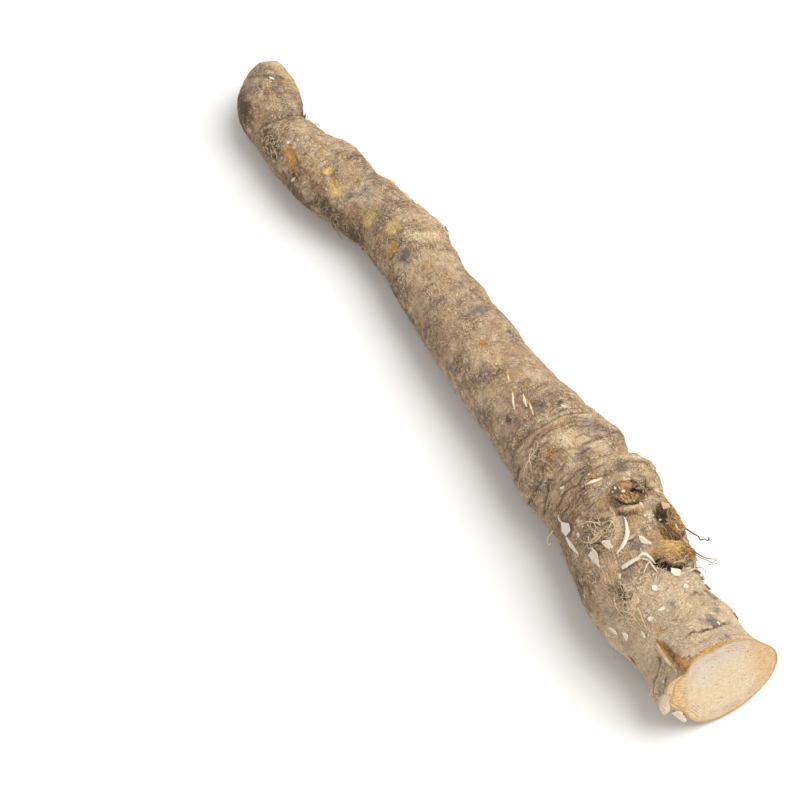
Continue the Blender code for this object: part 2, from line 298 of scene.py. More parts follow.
# Grooves (negative) and ridges too narrow for the solid: height in mm, half width in mm, then the (x, turn)
# points.
FOLDS = (
    # the shoulder of the knob
    (-0.7, 0.6, ((45.4, -51), (45.4, -36), (45.9, -24), (46.9, -11), (46.9, 2), (47.4, 14), (50, 42))),
    (-0.6, 0.5, ((51.3, -34), (49.8, -28), (49.8, -18), (50.8, -8), (50.8, 6), (53, 32))),
    (-0.5, 0.5, ((50.8, 22), (52.8, 30), (55.2, 36), (57, 52))),
    (-0.6, 0.5, ((57.2, -22), (59.2, -13), (60.1, -7), (59.7, 1), (60.1, 14), (60.1, 32), (57.7, 63))),
    (-0.8, 0.55, ((61.1, -42), (62.1, -56), (63.6, -70), (65.1, -87), (66, -104))),
    (0.5, 0.7, ((73.9, 2), (71.9, 11), (71.9, 24), (72.9, 42), (73.9, 52), (76, 75))),
    (-0.55, 0.5, ((75.4, 4), (73.9, 13), (73.9, 24), (74.8, 42), (76, 56))),
    (0.4, 0.6, ((77.8, 12), (77.8, 28), (78.8, 47))),
    (-0.5, 0.55, ((75.4, -34), (76.9, -44), (80.8, -52), (84.2, -52))),
    (-0.5, 0.5, ((75.4, -24), (77.8, -36), (80.3, -46))),
    # the eye: a furrow round it, its crevice, the lip below it and the line under the lip
    (-0.8, 0.7, ((88.7, -9), (84.2, -11), (81.6, -2), (80.6, 9), (80.8, 18), (82.6, 28))),
    (0.8, 0.8, ((83.4, -3), (82.4, 8), (82.6, 15))),
    (-1.3, 0.8, ((82.8, 12), (83.2, 17), (84.4, 22), (87.2, 24))),
    (-0.8, 0.7, ((87.2, -5), (89.6, -1), (90.2, 8), (89.4, 17))),
    (0.8, 0.7, ((90.6, -10), (92, -4), (92.4, 5), (91.8, 18))),
    (-0.7, 0.5, ((91.4, -12), (93.2, -4), (93.5, 3), (93.8, 12))),
    # the hollow: the hole at its head, and its torn rim
    (-1.8, 1.3, ((89.6, 35), (91.8, 41), (94.8, 44))),
    (0.9, 0.6, ((85.4, 36), (89.2, 43), (91.6, 48), (94.1, 52), (96.5, 54.5), (98.5, 56), (101, 58.5),
      (104, 60))),
    (-1, 0.7, ((108.6, 2), (110.2, 11), (112.6, 22), (113.9, 32), (114.6, 48), (114, 62))),
    # the big scar of the near side
    (-0.6, 0.6, ((91.4, -43), (90.6, -33), (92, -23), (95.5, -18), (99, -21))),
    (-0.5, 0.6, ((92.5, -45), (97, -44), (99.6, -34), (99.8, -25))),
    # the crown
    (-0.35, 0.6, ((139.5, -15), (143.2, -6), (143.9, 12), (142.3, 30), (141, 50))),
    (0.9, 0.7, ((131.8, -46.5), (134.4, -49), (139.3, -50), (144.2, -51), (151.2, -52))),
    (-0.5, 0.45, ((136, -44.5), (141, -46), (146, -46.5), (150, -46))),
    (-0.5, 0.5, ((136, -53), (138.8, -57), (140.8, -64), (141.3, -81), (143.7, -100), (143, -114))),
    (-0.4, 0.55, ((141.5, -61), (143.6, -69), (144, -84), (146.8, -94))),
    (-0.5, 0.5, ((145.5, -62), (147, -70), (147.4, -82))),
)

# Soft spots of each mark on the bark: x, turn, reach along in mm, reach round in degrees, strength.
SPOTS = {
    "cream": (
        (-161, 0, 6.5, 130, 1.2), (-148, -4, 5, 20, 0.5), (-103.6, 15, 2.4, 16, 0.4),
        (-52.4, -13, 2.4, 10, 1.4), (-50, 30, 2.6, 16, 0.9), (55.4, -14, 4, 13, 1.2), (66, -60, 5, 13, 0.6),
        (90, -50, 4, 9, 0.5), (94.8, 20, 2.8, 7, 0.85), (106.6, 22, 2.2, 9, 0.7), (122, -50, 6, 14, 0.6),
        (131, 6, 5, 14, 1), (147.2, -102, 2.4, 8, 0.9),
    ),
    "grey": (
        (-148.8, 15, 1.8, 20, 0.8), (-84.4, -29, 3.2, 13, 0.7), (-70.6, -29, 3, 12, 0.7),
        (-45.6, -34, 3.4, 12, 1.2), (-9.7, 13, 2.8, 16, 0.8), (12, -28, 5, 12, 0.3), (39, -5, 3, 12, 0.8),
        (70, -14, 2.2, 8, 0.6), (75.6, 17, 2, 13, 0.9), (103.6, -5, 2.8, 8, 1), (126, -8, 2.4, 6, 0.6),
        (137, 34, 2.4, 10, 0.6), (141.3, 14, 3, 12, 0.9), (148.4, 9, 1.6, 12, 0.7),
    ),
    "yellow": (
        (-148, 30, 6, 26, 0.35), (-79, 10, 3, 14, 0.4), (-72.1, -43, 4.4, 17, 1.1),
        (-59.8, -23, 4.2, 16, 1.1), (56, -24, 3, 8, 0.5), (85.9, 9, 2.4, 9, 1.4),
    ),
    "rust": (
        (-136, -30, 6, 24, 0.5), (-98, -52, 7, 18, 0.8), (-79, -46, 6, 18, 0.6), (-64, -52, 6, 20, 0.6),
        (83, -12, 2, 6, 0.6), (84, -52, 1.8, 5, 1),
    ),
    # Dark stains and scars. The wide spots at turns from -72 to -98 are painted shade along the near, lower
    # flank, where the root lies in shade.
    "dark": (
        (-141, -92, 12, 30, 0.8), (-141, -62, 9, 24, 1), (-122, -46, 8, 26, 1), (-106, -62, 3, 10, 0.8),
        (-104, -96, 14, 30, 0.8), (-89, -72, 13, 22, 0.75), (-76, -92, 16, 30, 0.8), (-36, -98, 22, 22, 0.6),
        (-14, -76, 26, 18, 0.38), (-5.4, -14, 1.5, 6, 0.9), (2.6, 31, 1.2, 6, 0.9), (35.1, -45, 2.4, 7, 0.8),
        (38, -76, 22, 18, 0.38), (42.4, 13, 1.2, 4, 1), (53.6, -45, 2.6, 8, 0.6), (70.5, -13, 2, 7, 0.6),
        (88, -86, 14, 20, 0.4), (95.3, -32, 3.6, 11, 0.6), (104, -84, 9, 22, 0.6), (114.1, -38, 3, 9, 0.8),
        (120, 2, 1.4, 6, 0.5), (127.5, 27, 2.4, 12, 0.5), (129, 48, 5, 10, 0.6), (133, -12, 1.6, 5, 0.5),
    ),
    # Darker scar tissue in the eye and the side hollow, deepened with painted shade on their walls.
    "scar_and_shade": (
        (86.2, 8, 5.2, 18, 1.15), (99.5, 38, 5.5, 16, 1),
    ),
    "bud": (
        (86.2, 8, 3.4, 12, 0.6), (94.6, 7, 2.4, 8, 0.5), (107.6, 33, 3.6, 28, 1),
    ),
    "orange": (
        (-105.5, -36, 1.8, 9, 0.6), (4.6, -10, 1.6, 6, 0.9), (57.2, -31, 2.6, 9, 0.55),
        (103, 18, 2.4, 7, 0.35), (107.4, 50, 2.6, 12, 0.9), (109.6, 46, 2, 8, 0.8), (132.2, -34, 2.4, 8, 0.5),
    ),
    # Painted shade in the hole at the head of the side hollow.
    "crevice_shade": (
        (92.6, 41, 2.8, 7, 1.2),
    ),
}

# Lines of each mark: strength, half width in mm, then the (x, turn) points.
LINES = {
    "cream": (
        (1.1, 1.1, ((-98.8, -19), (-95.4, -28), (-92.2, -35))),
        (1.4, 2.2, ((-53.2, -16), (-51.2, -3), (-49.6, 10), (-48.8, 26))),
        (0.8, 2.6, ((124, 8), (130, 4), (135, 1))),
        (1.6, 0.9, ((132.4, -47), (134.6, -49), (139.3, -50.6), (144.2, -51.6), (151.4, -52.6))),
        (0.8, 0.7, ((90.6, -9), (92, -4), (92.4, 5), (91.8, 18))),
        (0.8, 0.8, ((89.6, 44), (92.4, 50), (95, 58))),
        (0.6, 0.8, ((73.9, 2), (71.9, 11), (71.9, 24), (72.9, 42))),
    ),
    "yellow": (
        (1.05, 2.8, ((-98, -18), (-95, -25))), (1.1, 2.8, ((-94, -27), (-90.6, -36), (-86.8, -43))),
        (1.2, 1.3, ((-116.6, -33), (-111.6, -45), (-108, -52))), (0.9, 0.8, ((-53.6, -32), (-53.2, -46))),
        (0.6, 1, ((33, 14), (35.5, 6))),
    ),
    "rust": (
        (0.6, 3.4, ((-117, -32), (-111, -46), (-103, -50), (-98, -44))),
        (1.1, 1.6, ((134, -42), (139, -43), (144, -43), (148.2, -41), (152, -38))),
        (0.6, 0.7, ((46.6, -28), (48.2, -23), (49.3, -12), (50.3, 2), (50.6, 10))),
        (0.6, 0.9, ((75, -32), (76.9, -44), (80.8, -52), (84.2, -54))),
    ),
    # Dark streaks at x -151, -117, -98 and -50. The other dark lines follow creases and folds of the relief
    # (the tail's ring crease, the rings at -96 and -84, the crease and fold of the crown, the furrow round
    # the eye and the line under its lip) and are painted shade in them.
    "dark": (
        (0.5, 0.6, ((-97.6, -31), (-95.2, -28), (-93.2, -21))),
        (0.8, 0.8, ((-117.6, -22), (-111.4, -33), (-105.2, -46), (-103.6, -56))),
        (0.8, 0.8, ((-50.2, -36), (-49.6, -50), (-49.8, -62))),
        (0.45, 0.8, ((-134, -75), (-131.5, -30), (-129.5, 8), (-131, 45), (-133, 80), (-134, 120))),
        (0.7, 0.7, ((-95.8, 12), (-96, 30), (-95, 50))),
        (0.55, 1.2, ((-151.5, -62), (-150.5, -30), (-149.8, 0), (-149, 30), (-150, 55))),
        (0.5, 0.6, ((-84, 14), (-84, 28), (-82, 50))),
        (0.8, 0.6, ((139.5, -20), (141, -17), (143.5, -5), (144.2, 8), (141.2, 40))),
        (0.8, 0.7, ((91.4, -12), (93.2, -4), (93.5, 3), (93.8, 12))),
        (1.5, 1, ((81.4, 6), (82.4, -2), (84.4, -7.5), (87, -9.5), (89.4, -8), (91.2, 0))),
        (0.5, 0.6, ((136, -53), (138.8, -57), (140.8, -64), (141.3, -81), (143.7, -100))),
    ),
    "orange": (
        (0.6, 0.9, ((-94.6, -21), (-91.6, -28), (-89, -34))),
        (0.85, 2.5, ((-117, -29), (-111.5, -41), (-105.5, -55))),
        (0.85, 1.7, ((-52.6, -30), (-52, -48), (-52, -66))), (0.7, 1, ((18.5, -8), (21.5, -13), (24, -17))),
        (0.7, 1.1, ((26.4, -17), (29.8, -24), (33, -30), (35, -33))),
        (0.8, 1.2, ((29.4, -8), (34, -14.5), (38, -16), (42, -20))),
        (0.7, 0.8, ((83.2, -3), (81.8, 3), (81.3, 9), (81.9, 16))),
        (0.5, 1.2, ((93.8, 0), (96.2, 4), (99.4, 9))),
        (0.8, 0.8, ((85.4, 38), (89.2, 44), (91.6, 49), (94.1, 53), (96.5, 55), (98.5, 57), (101, 59),
          (104, 60))),
        (1.1, 1, ((131, -44), (134, -45), (138, -45), (142, -45), (146, -45), (150, -45))),
        (1.2, 1.8, ((143, -44), (147, -43), (150, -42), (153, -40))),
        (1.2, 0.8, ((149.4, -46), (151.3, -40), (151, -27), (150.8, -19), (150.8, -1), (151, 12))),
        (0.6, 0.6, ((133, -49), (137, -52), (142, -53.5), (148, -54.5))),
    ),
    # Painted shade along the crevices of the eye, the hole of the side hollow and the deep crease beyond it.
    "crevice_shade": (
        (1, 1, ((82, 13), (83.2, 18), (84.4, 24), (84.2, 33))),
        (1.1, 0.8, ((84.6, -5), (87.4, -5), (89.6, -1), (90.2, 8), (89.4, 17))),
        (1.1, 1.1, ((90.2, 37), (93, 41), (96.5, 43))),
        (1, 1, ((108.6, 2), (110.2, 10), (112.6, 21), (113.9, 32), (114.8, 48))),
    ),
}
# The marks in the order in which they are laid over the bark.
MARKS = ("cream", "grey", "yellow", "rust", "dark", "scar_and_shade", "bud", "orange", "crevice_shade")

# Noise makes the marks ragged. It has this size in mm and these seeds, and moves them by so many mm from side
# to side along the root, and by so many degrees round it.
RAGGED_SIZE = 2.6
RAGGED_SEEDS = (71, 72)
RAGGED_ALONG = 2.6
RAGGED_ROUND = 11.0

# Marks strewn over the sides that the photograph doesn't show: the mark, how many, least and most reach in
# mm. They lie between these places along the root and round it, with strengths between these two, and reach
# about so many times as far round it as along it.
STREWN = (("yellow", 9, 1.4, 3.2), ("orange", 7, 0.9, 2.2), ("cream", 6, 1.2, 3), ("grey", 18, 1.8, 4.5),
          ("dark", 16, 1.5, 5), ("rust", 8, 1, 2.4))
STREWN_SPAN = (-155, 148)
STREWN_TURNS = (78, 236)
STREWN_STRENGTHS = (0.6, 1.0)
STREWN_STRETCH = 1.3
STREWN_SEED = 5

# Small raised warts and sunk rootlet pits: how many, reach along and round in mm, height in mm. Then from
# which x to which they are strewn, and at how many times its reach each is cut off.
WARTS = (260, (0.4, 0.8), (0.5, 1.3), (0.08, 0.26))
PITS = (120, (0.4, 0.9), (0.4, 1.0), (-0.5, -0.15))
GROWTHS_SPAN = (-158, 150)
GROWTHS_CUTOFF = 3
GROWTHS_SEED = 23


def smooth(knots, values, at):
    """A smooth curve through the values at the knots, read at each point of at."""
    slopes = np.gradient(values, knots)
    i = np.clip(np.searchsorted(knots, at, side="right") - 1, 0, len(knots) - 2)
    span = knots[i + 1] - knots[i]
    t = (at - knots[i]) / span
    start = (1 + 2 * t) * (1 - t) ** 2 * values[i] + t * (1 - t) ** 2 * span * slopes[i]
    end = t * t * (3 - 2 * t) * values[i + 1] + t * t * (t - 1) * span * slopes[i + 1]
    return start + end


def column(index, x):
    return smooth(STATIONS[:, 0], STATIONS[:, index], x)


def ease(t):
    t = np.clip(t, 0, 1)
    return t * t * (3 - 2 * t)


def turn_between(turn, start):
    return (turn - start + 180) % 360 - 180


def bump(x, turn, at_x, at_turn, along, around):
    """1 at a place on the surface, falling to 0 round it."""
    return np.exp(-((x - at_x) / along) ** 2 - (turn_between(turn, at_turn) / around) ** 2)


def rim(x, turn, at_x, at_turn, along, around):
    """1 on an oval round a place on the surface, falling to 0 inside and outside it."""
    reach = np.hypot((x - at_x) / along, turn_between(turn, at_turn) / around)
    return np.exp(-((reach - 1) / RIM_THICKNESS) ** 2)


def stroke(x, turn, path, half_width):
    """1 on a path over the surface, falling to 0 beside it and towards its ends."""
    path = np.array(path, float)
    middle = path[:, 1].mean()
    mm_per_degree = np.radians(column(2, path[:, 0].mean()))
    across = turn_between(turn, middle) * mm_per_degree
    corners = np.stack([path[:, 0], (path[:, 1] - middle) * mm_per_degree], -1)
    lengths = np.linalg.norm(np.diff(corners, axis=0), axis=1)
    before = np.concatenate([[0], np.cumsum(lengths)])
    nearest = np.full(x.shape, np.inf)
    run = np.zeros(x.shape)
    for i, length in enumerate(lengths):
        ahead = (corners[i + 1] - corners[i]) / length
        from_x = x - corners[i, 0]
        from_across = across - corners[i, 1]
        along = np.clip(from_x * ahead[0] + from_across * ahead[1], 0, length)
        distance = np.hypot(from_x - along * ahead[0], from_across - along * ahead[1])
        run = np.where(distance < nearest, (before[i] + along) / before[-1], run)
        nearest = np.minimum(nearest, distance)
    fade = ease(run / STROKE_FADE) * ease((1 - run) / STROKE_FADE)
    return np.exp(-(nearest / half_width) ** 2) * fade


def swells(x, turn):
    """A sum of slow waves, each running round the root a whole number of times."""
    rng = np.random.default_rng(SWELL_SEED)
    total = np.zeros(x.shape)
    for _ in range(SWELLS):
        length = rng.uniform(*SWELL_LENGTHS)
        rounds = rng.integers(0, SWELL_ROUNDS)
        phase = rng.uniform(0, 2 * np.pi)
        total += np.sin(2 * np.pi * x / length + np.radians(turn) * rounds + phase)
    return SWELL_HEIGHT * total / np.sqrt(SWELLS / 2)


def relief(x, turn):
    """How far the bark stands out from the plain tube at x and turn, in millimetres, as in the solid."""
    height = swells(x, turn)
    for at_x, at_turn, along, around, rise in BUMPS:
        height = height + rise * bump(x, turn, at_x, at_turn, along, around)
    for at_x, at_turn, along, around, rise in RIMS:
        height = height + rise * rim(x, turn, at_x, at_turn, along, around)
    for rise, half_width, path in STROKES:
        height = height + rise * stroke(x, turn, path, half_width)
    underneath = ease((np.abs(turn_between(turn, 0)) - UNDER_TURN) / UNDER_REACH)
    return height * (1 - UNDER_FADE * underneath)


def unit(vectors):
    return vectors / (np.linalg.norm(vectors, axis=-1, keepdims=True) + 1e-9)


def middle_line(x):
    return np.stack([x, column(1, x), column(3, x) + column(4, x)], -1)


def surface(x, turn, rise):
    """Points of the bark at x and turn, standing out by rise: three arrays of one shape."""
    width, height = column(2, x), column(3, x)
    ahead = unit(middle_line(x + SLOPE_STEP) - middle_line(x - SLOPE_STEP))
    lean = np.radians(CUT_LEAN)
    blend = ease((x - CUT_BLEND_X) / (CUT_X - CUT_BLEND_X))[..., None]
    ahead = unit(ahead * (1 - blend) + np.array([np.cos(lean), 0.0, np.sin(lean)]) * blend)
    side = unit(np.cross([0.0, 0.0, 1.0], ahead))
    up = np.cross(ahead, side)
    from_tip = np.clip((x - TAIL_X) / TIP_LENGTH, 0, 1)
    blunt = np.clip(1 - (1 - from_tip) ** 2, 0, 1) ** TIP_BLUNTNESS
    angle = np.radians(turn)
    sideways = ((width + rise) * blunt * np.sin(angle))[..., None] * side
    upwards = ((height + rise) * blunt * np.cos(angle))[..., None] * up
    return middle_line(x) + sideways + upwards


def beyond(points, place):
    """How far the points lie outside a flat place, in millimetres."""
    direction, reach = place
    return points @ np.array(direction) - reach


def flattened(points):
    """The points pressed back to the facet of the tip, the slice beside the furrow, and the ground."""
    for place in (TIP_FACET, CROWN_SLICE, GROUND):
        over = np.maximum(beyond(points, place), 0)
        points = points - over[..., None] * np.array(place[0])
    return points


def centred(points):
    """The points with the middle of the root's box over the origin."""
    return points - np.array([*BOX_MIDDLE, 0.0])


def hashed(cells, seed):
    """A repeatable number from 0 to 1 for each whole-numbered cell."""
    whole = cells.astype(np.int64).astype(np.uint32)
    mixed = whole[..., 0] * np.uint32(73856093) ^ whole[..., 1] * np.uint32(19349663)
    mixed = mixed ^ whole[..., 2] * np.uint32(83492791) ^ np.uint32(seed * 7919 + 17)
    mixed = (mixed ^ (mixed >> np.uint32(15))) * np.uint32(2246822519)
    mixed = (mixed ^ (mixed >> np.uint32(13))) * np.uint32(3266489917)
    return (mixed ^ (mixed >> np.uint32(16))) / 4294967295.0


def noise(points, seed):
    """Smooth noise from 0 to 1 with features about 1 across."""
    base = np.floor(points)
    t = points - base
    t = t * t * (3 - 2 * t)
    total = np.zeros(points.shape[:-1])
    for corner in np.ndindex(2, 2, 2):
        weight = np.where(np.array(corner) == 1, t, 1 - t).prod(-1)
        total += weight * hashed(base + corner, seed)
    return total


def fractal(points, seed, octaves):
    """Noise of several sizes together, from 0 to 1."""
    total = np.zeros(points.shape[:-1])
    share = 0.0
    for k in range(octaves):
        total += 0.5 ** k * noise(points * 2 ** k, seed + 100 * k)
        share += 0.5 ** k
    return total / share


def unrolled(x, turn):
    """The place in mm on a straight root of the same girth, so patterns close round it without a seam."""
    angle = np.radians(turn)
    girth = column(2, x)
    return np.stack([x, girth * np.sin(angle), girth * np.cos(angle)], -1)


def winding(values, sharpness):
    """1 along the winding lines where smooth noise crosses its middle value, and 0 away from them."""
    return (1 - np.abs(2 * values - 1)) ** sharpness


def grooves(place, spacing, seed):
    """1 in the grooves that run round the root, each fading in and out, and steep on its tail side."""
    (wide, wide_size), (narrow, narrow_size) = GROOVE_SWAYS
    shift = wide * fractal(place / wide_size, seed, 2) + narrow * noise(place / narrow_size, seed + 1)
    phase = (place[..., 0] + shift) / spacing
    nearest = np.round(phase)
    off = phase - nearest
    patch = np.stack([nearest * GROOVE_APART, place[..., 1] / GROOVE_PATCH, place[..., 2] / GROOVE_PATCH], -1)
    depth = ease((noise(patch, seed + 2) - GROOVE_LEVEL) / GROOVE_RISE)
    return depth * np.exp(-(off / np.where(off < 0, *GROOVE_WIDTHS)) ** 2)


def growths(x, turn, kind, rng):
    """The height in mm of many small raised or sunk spots strewn over the bark."""
    count, along_range, around_range, height_range = kind
    height = np.zeros(x.shape)
    rows = x[:, 0]
    for _ in range(count):
        at_x = rng.uniform(*GROWTHS_SPAN)
        at_turn = rng.uniform(-180, 180)
        along = rng.uniform(*along_range)
        around = np.degrees(rng.uniform(*around_range) / column(2, at_x))
        rise = rng.uniform(*height_range)
        reach = GROWTHS_CUTOFF * along
        near = slice(*np.searchsorted(rows, (at_x - reach, at_x + reach)))
        height[near] += rise * bump(x[near], turn[near], at_x, at_turn, along, around)
    return height


def zone(table, x):
    return np.interp(x, table[:, 0], table[:, 1])


def fine_relief(x, turn):
    """(grain, depth of the grooves) of the bark on top of the solid's form, in millimetres."""
    place = unrolled(x, turn)
    rough = zone(ROUGHNESS_ALONG, x)
    for at_x, at_turn, along, around, more in COARSE:
        rough = rough + more * bump(x, turn, at_x, at_turn, along, around)
    reach, size, seed = BEND
    bent = place + reach * (np.stack([noise(place / size, seed + k) for k in range(3)], -1) - 0.5)
    grain = sum(height * (fractal(place / size, seed, 2) - 0.5) for height, size, seed in GRAIN)
    height, size, seed = ROUGH_GRAIN
    grain += rough * height * (fractal(bent / np.array(size), seed, 2) - 0.5)
    height, size, seed = CRACKS
    grain -= rough * height * (winding(noise(bent / np.array(size), seed), CRACK_SHARPNESS) - CRACK_LEVEL)
    rng = np.random.default_rng(GROWTHS_SEED)
    grain += growths(x, turn, WARTS, rng) + growths(x, turn, PITS, rng)
    depth = zone(FOLDING, x) * sum(share * grooves(place, spacing, seed) for share, spacing, seed in GROOVES)
    reach, size, seed = FOLD_WANDER
    wandering = turn + reach * (noise(place / size, seed) - 0.5)
    for rise, half_width, path in FOLDS:
        depth -= rise * stroke(x, wandering, path, half_width)
    return grain, depth


def marks(x, turn):
    """Each mark's strength at x and turn: 0 where there is none, and about 1 where it is full."""
    sway_x, sway_turn = (fractal(unrolled(x, turn) / RAGGED_SIZE, seed, 2) - 0.5 for seed in RAGGED_SEEDS)
    ragged_x = x + RAGGED_ALONG * sway_x
    ragged_turn = turn + RAGGED_ROUND * sway_turn
    found = {mark: np.zeros(x.shape) for mark in MARKS}

    def lay(mark, strength, shape):
        found[mark] = np.maximum(found[mark], strength * shape)

    for mark, spots in SPOTS.items():
        for *spot, strength in spots:
            lay(mark, strength, bump(ragged_x, ragged_turn, *spot))
    for mark, lines in LINES.items():
        for strength, half_width, path in lines:
            lay(mark, strength, stroke((x + ragged_x) / 2, (turn + ragged_turn) / 2, path, half_width))
    rng = np.random.default_rng(STREWN_SEED)
    for mark, count, least, most in STREWN:
        for _ in range(count):
            at_x = rng.uniform(*STREWN_SPAN)
            at_turn = rng.uniform(*STREWN_TURNS)
            along = rng.uniform(least, most)
            around = np.degrees(rng.uniform(least, most) * STREWN_STRETCH / column(2, at_x))
            strength = rng.uniform(*STREWN_STRENGTHS)
            lay(mark, strength, bump(ragged_x, ragged_turn, at_x, at_turn, along, around))
    return found


def ring_places():
    """The x of each ring of the fine mesh."""
    first = TAIL_X + TIP_START
    tip = first + (RING_SPANS[0][0] - first) * np.linspace(0, 1, TIP_RINGS, endpoint=False) ** TIP_POWER
    spans = [np.linspace(start, end, count, endpoint=False) for start, end, count in RING_SPANS]
    return np.concatenate([tip, *spans, [CUT_X]])


class Skin:
    """The bark as a grid of points in millimetres, which the small pieces that lie on it are placed by."""

    def __init__(self):
        even = np.arange(SIDES) * 360.0 / SIDES
        self.turns = even - np.degrees(CROWDING * np.sin(np.radians(even - CROWDED_TURN)))
        self.rings = ring_places()
        self.x, self.turn = np.meshgrid(self.rings, self.turns, indexing="ij")
        self.grain, self.depth = fine_relief(self.x, self.turn)
        rise = relief(self.x, self.turn)
        plain = surface(self.x, self.turn, rise)
        self.bark = surface(self.x, self.turn, rise + self.grain - self.depth)
        across = np.roll(plain, -1, 1) - np.roll(plain, 1, 1)
        out = unit(np.cross(np.gradient(plain, axis=0), across))
        fine = (self.grain - self.depth)[..., None]
        self.table = np.concatenate([centred(flattened(plain)), out, fine], -1)

    def read(self, x, turn):
        """(point without the fine relief, outward direction, fine relief) at places on the bark."""
        x, turn = np.broadcast_arrays(np.asarray(x, float), np.asarray(turn, float))
        ring = np.minimum(np.interp(x, self.rings, np.arange(len(self.rings))), len(self.rings) - 1.001)
        knots = np.append(self.turns, self.turns[0] + 360) - self.turns[0]
        side = np.interp((turn - self.turns[0]) % 360, knots, np.arange(SIDES + 1))
        r, s = ring.astype(int), side.astype(int)
        a, b = (ring - r)[..., None], (side - s)[..., None]
        s, n = s % SIDES, (s + 1) % SIDES
        near = self.table[r, s] * (1 - b) + self.table[r, n] * b
        far = self.table[r + 1, s] * (1 - b) + self.table[r + 1, n] * b
        found = near * (1 - a) + far * a
        return found[..., :3], unit(found[..., 3:6]), found[..., 6]


def set_values(mesh, name, values, kind="FLOAT", field="value"):
    made = mesh.attributes.new(name, kind, "POINT")
    made.data.foreach_set(field, np.asarray(values, np.float32).ravel())


def shown(name, mesh, material):
    made = bpy.data.objects.new(name, mesh)
    made.data.materials.append(material)
    bpy.context.scene.collection.objects.link(made)
    return made


def grid_faces(rows, columns):
    """Four-cornered faces of a grid whose columns close on themselves."""
    r, k = np.meshgrid(np.arange(rows - 1), np.arange(columns), indexing="ij")
    n = (k + 1) % columns
    this, following = r * columns, (r + 1) * columns
    return np.stack([this + k, following + k, following + n, this + n], -1).reshape(-1, 4)


def root_piece(skin, material):
    """The whole root as one closed mesh: its bark, and the cut face that closes it at the crown."""
    bark = skin.bark
    middle = bark[-1].mean(0)
    shares = 1 - np.arange(1, CUT_RINGS + 1)[:, None, None] / (CUT_RINGS + 1)
    cut = middle + (bark[-1] - middle) * shares
    from_rim = np.linalg.norm(bark[-1] - middle, axis=-1) * (1 - shares[..., 0])
    cut_out = np.array([np.cos(np.radians(CUT_LEAN)), 0.0, np.sin(np.radians(CUT_LEAN))])
    knife = KNIFE_HEIGHT * (fractal(cut / np.array(KNIFE_SIZE), KNIFE_SEED, 3) - 0.5)
    rise = knife * ease(from_rim / KNIFE_FROM_RIM) - DISH_DEPTH * ease(from_rim / DISH_REACH)
    cut += cut_out * rise[..., None]
    rings = np.concatenate([bark, cut])
    ends = np.array([bark[0].mean(0), middle - cut_out * DISH_DEPTH])
    free = np.concatenate([rings.reshape(-1, 3), ends])
    points = centred(flattened(free))
    count = len(rings)
    k = np.arange(SIDES)
    tip_fan = np.stack([np.full(SIDES, count * SIDES), k, (k + 1) % SIDES], -1)
    last = (count - 1) * SIDES
    cut_fan = np.stack([np.full(SIDES, count * SIDES + 1), last + (k + 1) % SIDES, last + k], -1)
    mesh = bpy.data.meshes.new("root_bark")
    faces = grid_faces(count, SIDES).tolist() + tip_fan.tolist() + cut_fan.tolist()
    mesh.from_pydata((points * MM).tolist(), [], faces)
    mesh.update()
    mesh.shade_smooth()
    sharpen_rim(mesh, (len(bark) - 1) * SIDES)

    def over_all(on_bark, on_cut, at_tip, at_middle):
        return np.concatenate([on_bark.ravel(), on_cut.ravel(), [at_tip, at_middle]])

    blank = np.zeros(from_rim.shape)
    masks = {**marks(skin.x, skin.turn), "height": skin.grain, "groove": np.maximum(skin.depth, 0)}
    for name, values in masks.items():
        set_values(mesh, name, over_all(values, blank, 0, 0))
    sliced = ease(beyond(free, CROWN_SLICE) / SLICE_DEPTH)
    set_values(mesh, "sliced", sliced)
    set_values(mesh, "flesh", np.maximum(over_all(skin.x >= CUT_X, blank + 1, 0, 1), sliced))
    set_values(mesh, "from_rim", over_all(skin.x * 0, from_rim, 0, from_rim.max()))
    set_values(mesh, "to_cut", over_all(CUT_X - skin.x, blank, CUT_X - TAIL_X, 0))
    places = np.concatenate([unrolled(skin.x, skin.turn).reshape(-1, 3), cut.reshape(-1, 3), ends])
    set_values(mesh, "place", places, "FLOAT_VECTOR", "vector")
    return shown("root_bark", mesh, material)


def sharpen_rim(mesh, first):
    """Keeps a crisp edge between the bark and the cut face, along the ring of SIDES vertices from first."""
    ends = np.empty(len(mesh.edges) * 2, np.int32)
    mesh.edges.foreach_get("vertices", ends)
    ends = ends.reshape(-1, 2)
    on_rim = ((ends >= first) & (ends < first + SIDES)).all(1)
    sharp = mesh.attributes.get("sharp_edge") or mesh.attributes.new("sharp_edge", "BOOLEAN", "EDGE")
    sharp.data.foreach_set("value", on_rim)


# Nothing that clings to the root sinks below this height over the floor, in millimetres.
CLEARANCE = 0.05


class Gather:
    """Collects the small closed forms that make one piece, with a tone for each: 0 is dark and 1 is light."""

    def __init__(self):
        self.points = []
        self.faces = []
        self.tones = []
        self.runs = []
        self.count = 0

    def add(self, form, tone):
        """form is (points, lists of faces, where each point lies along the form and across it)."""
        points, faces, run = form
        self.points.append(points)
        for kind in faces:
            self.faces.extend((np.asarray(kind) + self.count).tolist())
        self.tones.append(np.broadcast_to(tone, len(points)))
        self.runs.append(run)
        self.count += len(points)

    def piece(self, name, material, crisp=False):
        points = np.concatenate(self.points)
        points[:, 2] = np.maximum(points[:, 2], CLEARANCE)
        mesh = bpy.data.meshes.new(name)
        mesh.from_pydata((points * MM).tolist(), [], self.faces)
        mesh.update()
        if not crisp:
            mesh.shade_smooth()
        set_values(mesh, "tone", np.concatenate(self.tones))
        set_values(mesh, "run", np.concatenate(self.runs), "FLOAT_VECTOR", "vector")
        return shown(name, mesh, material)


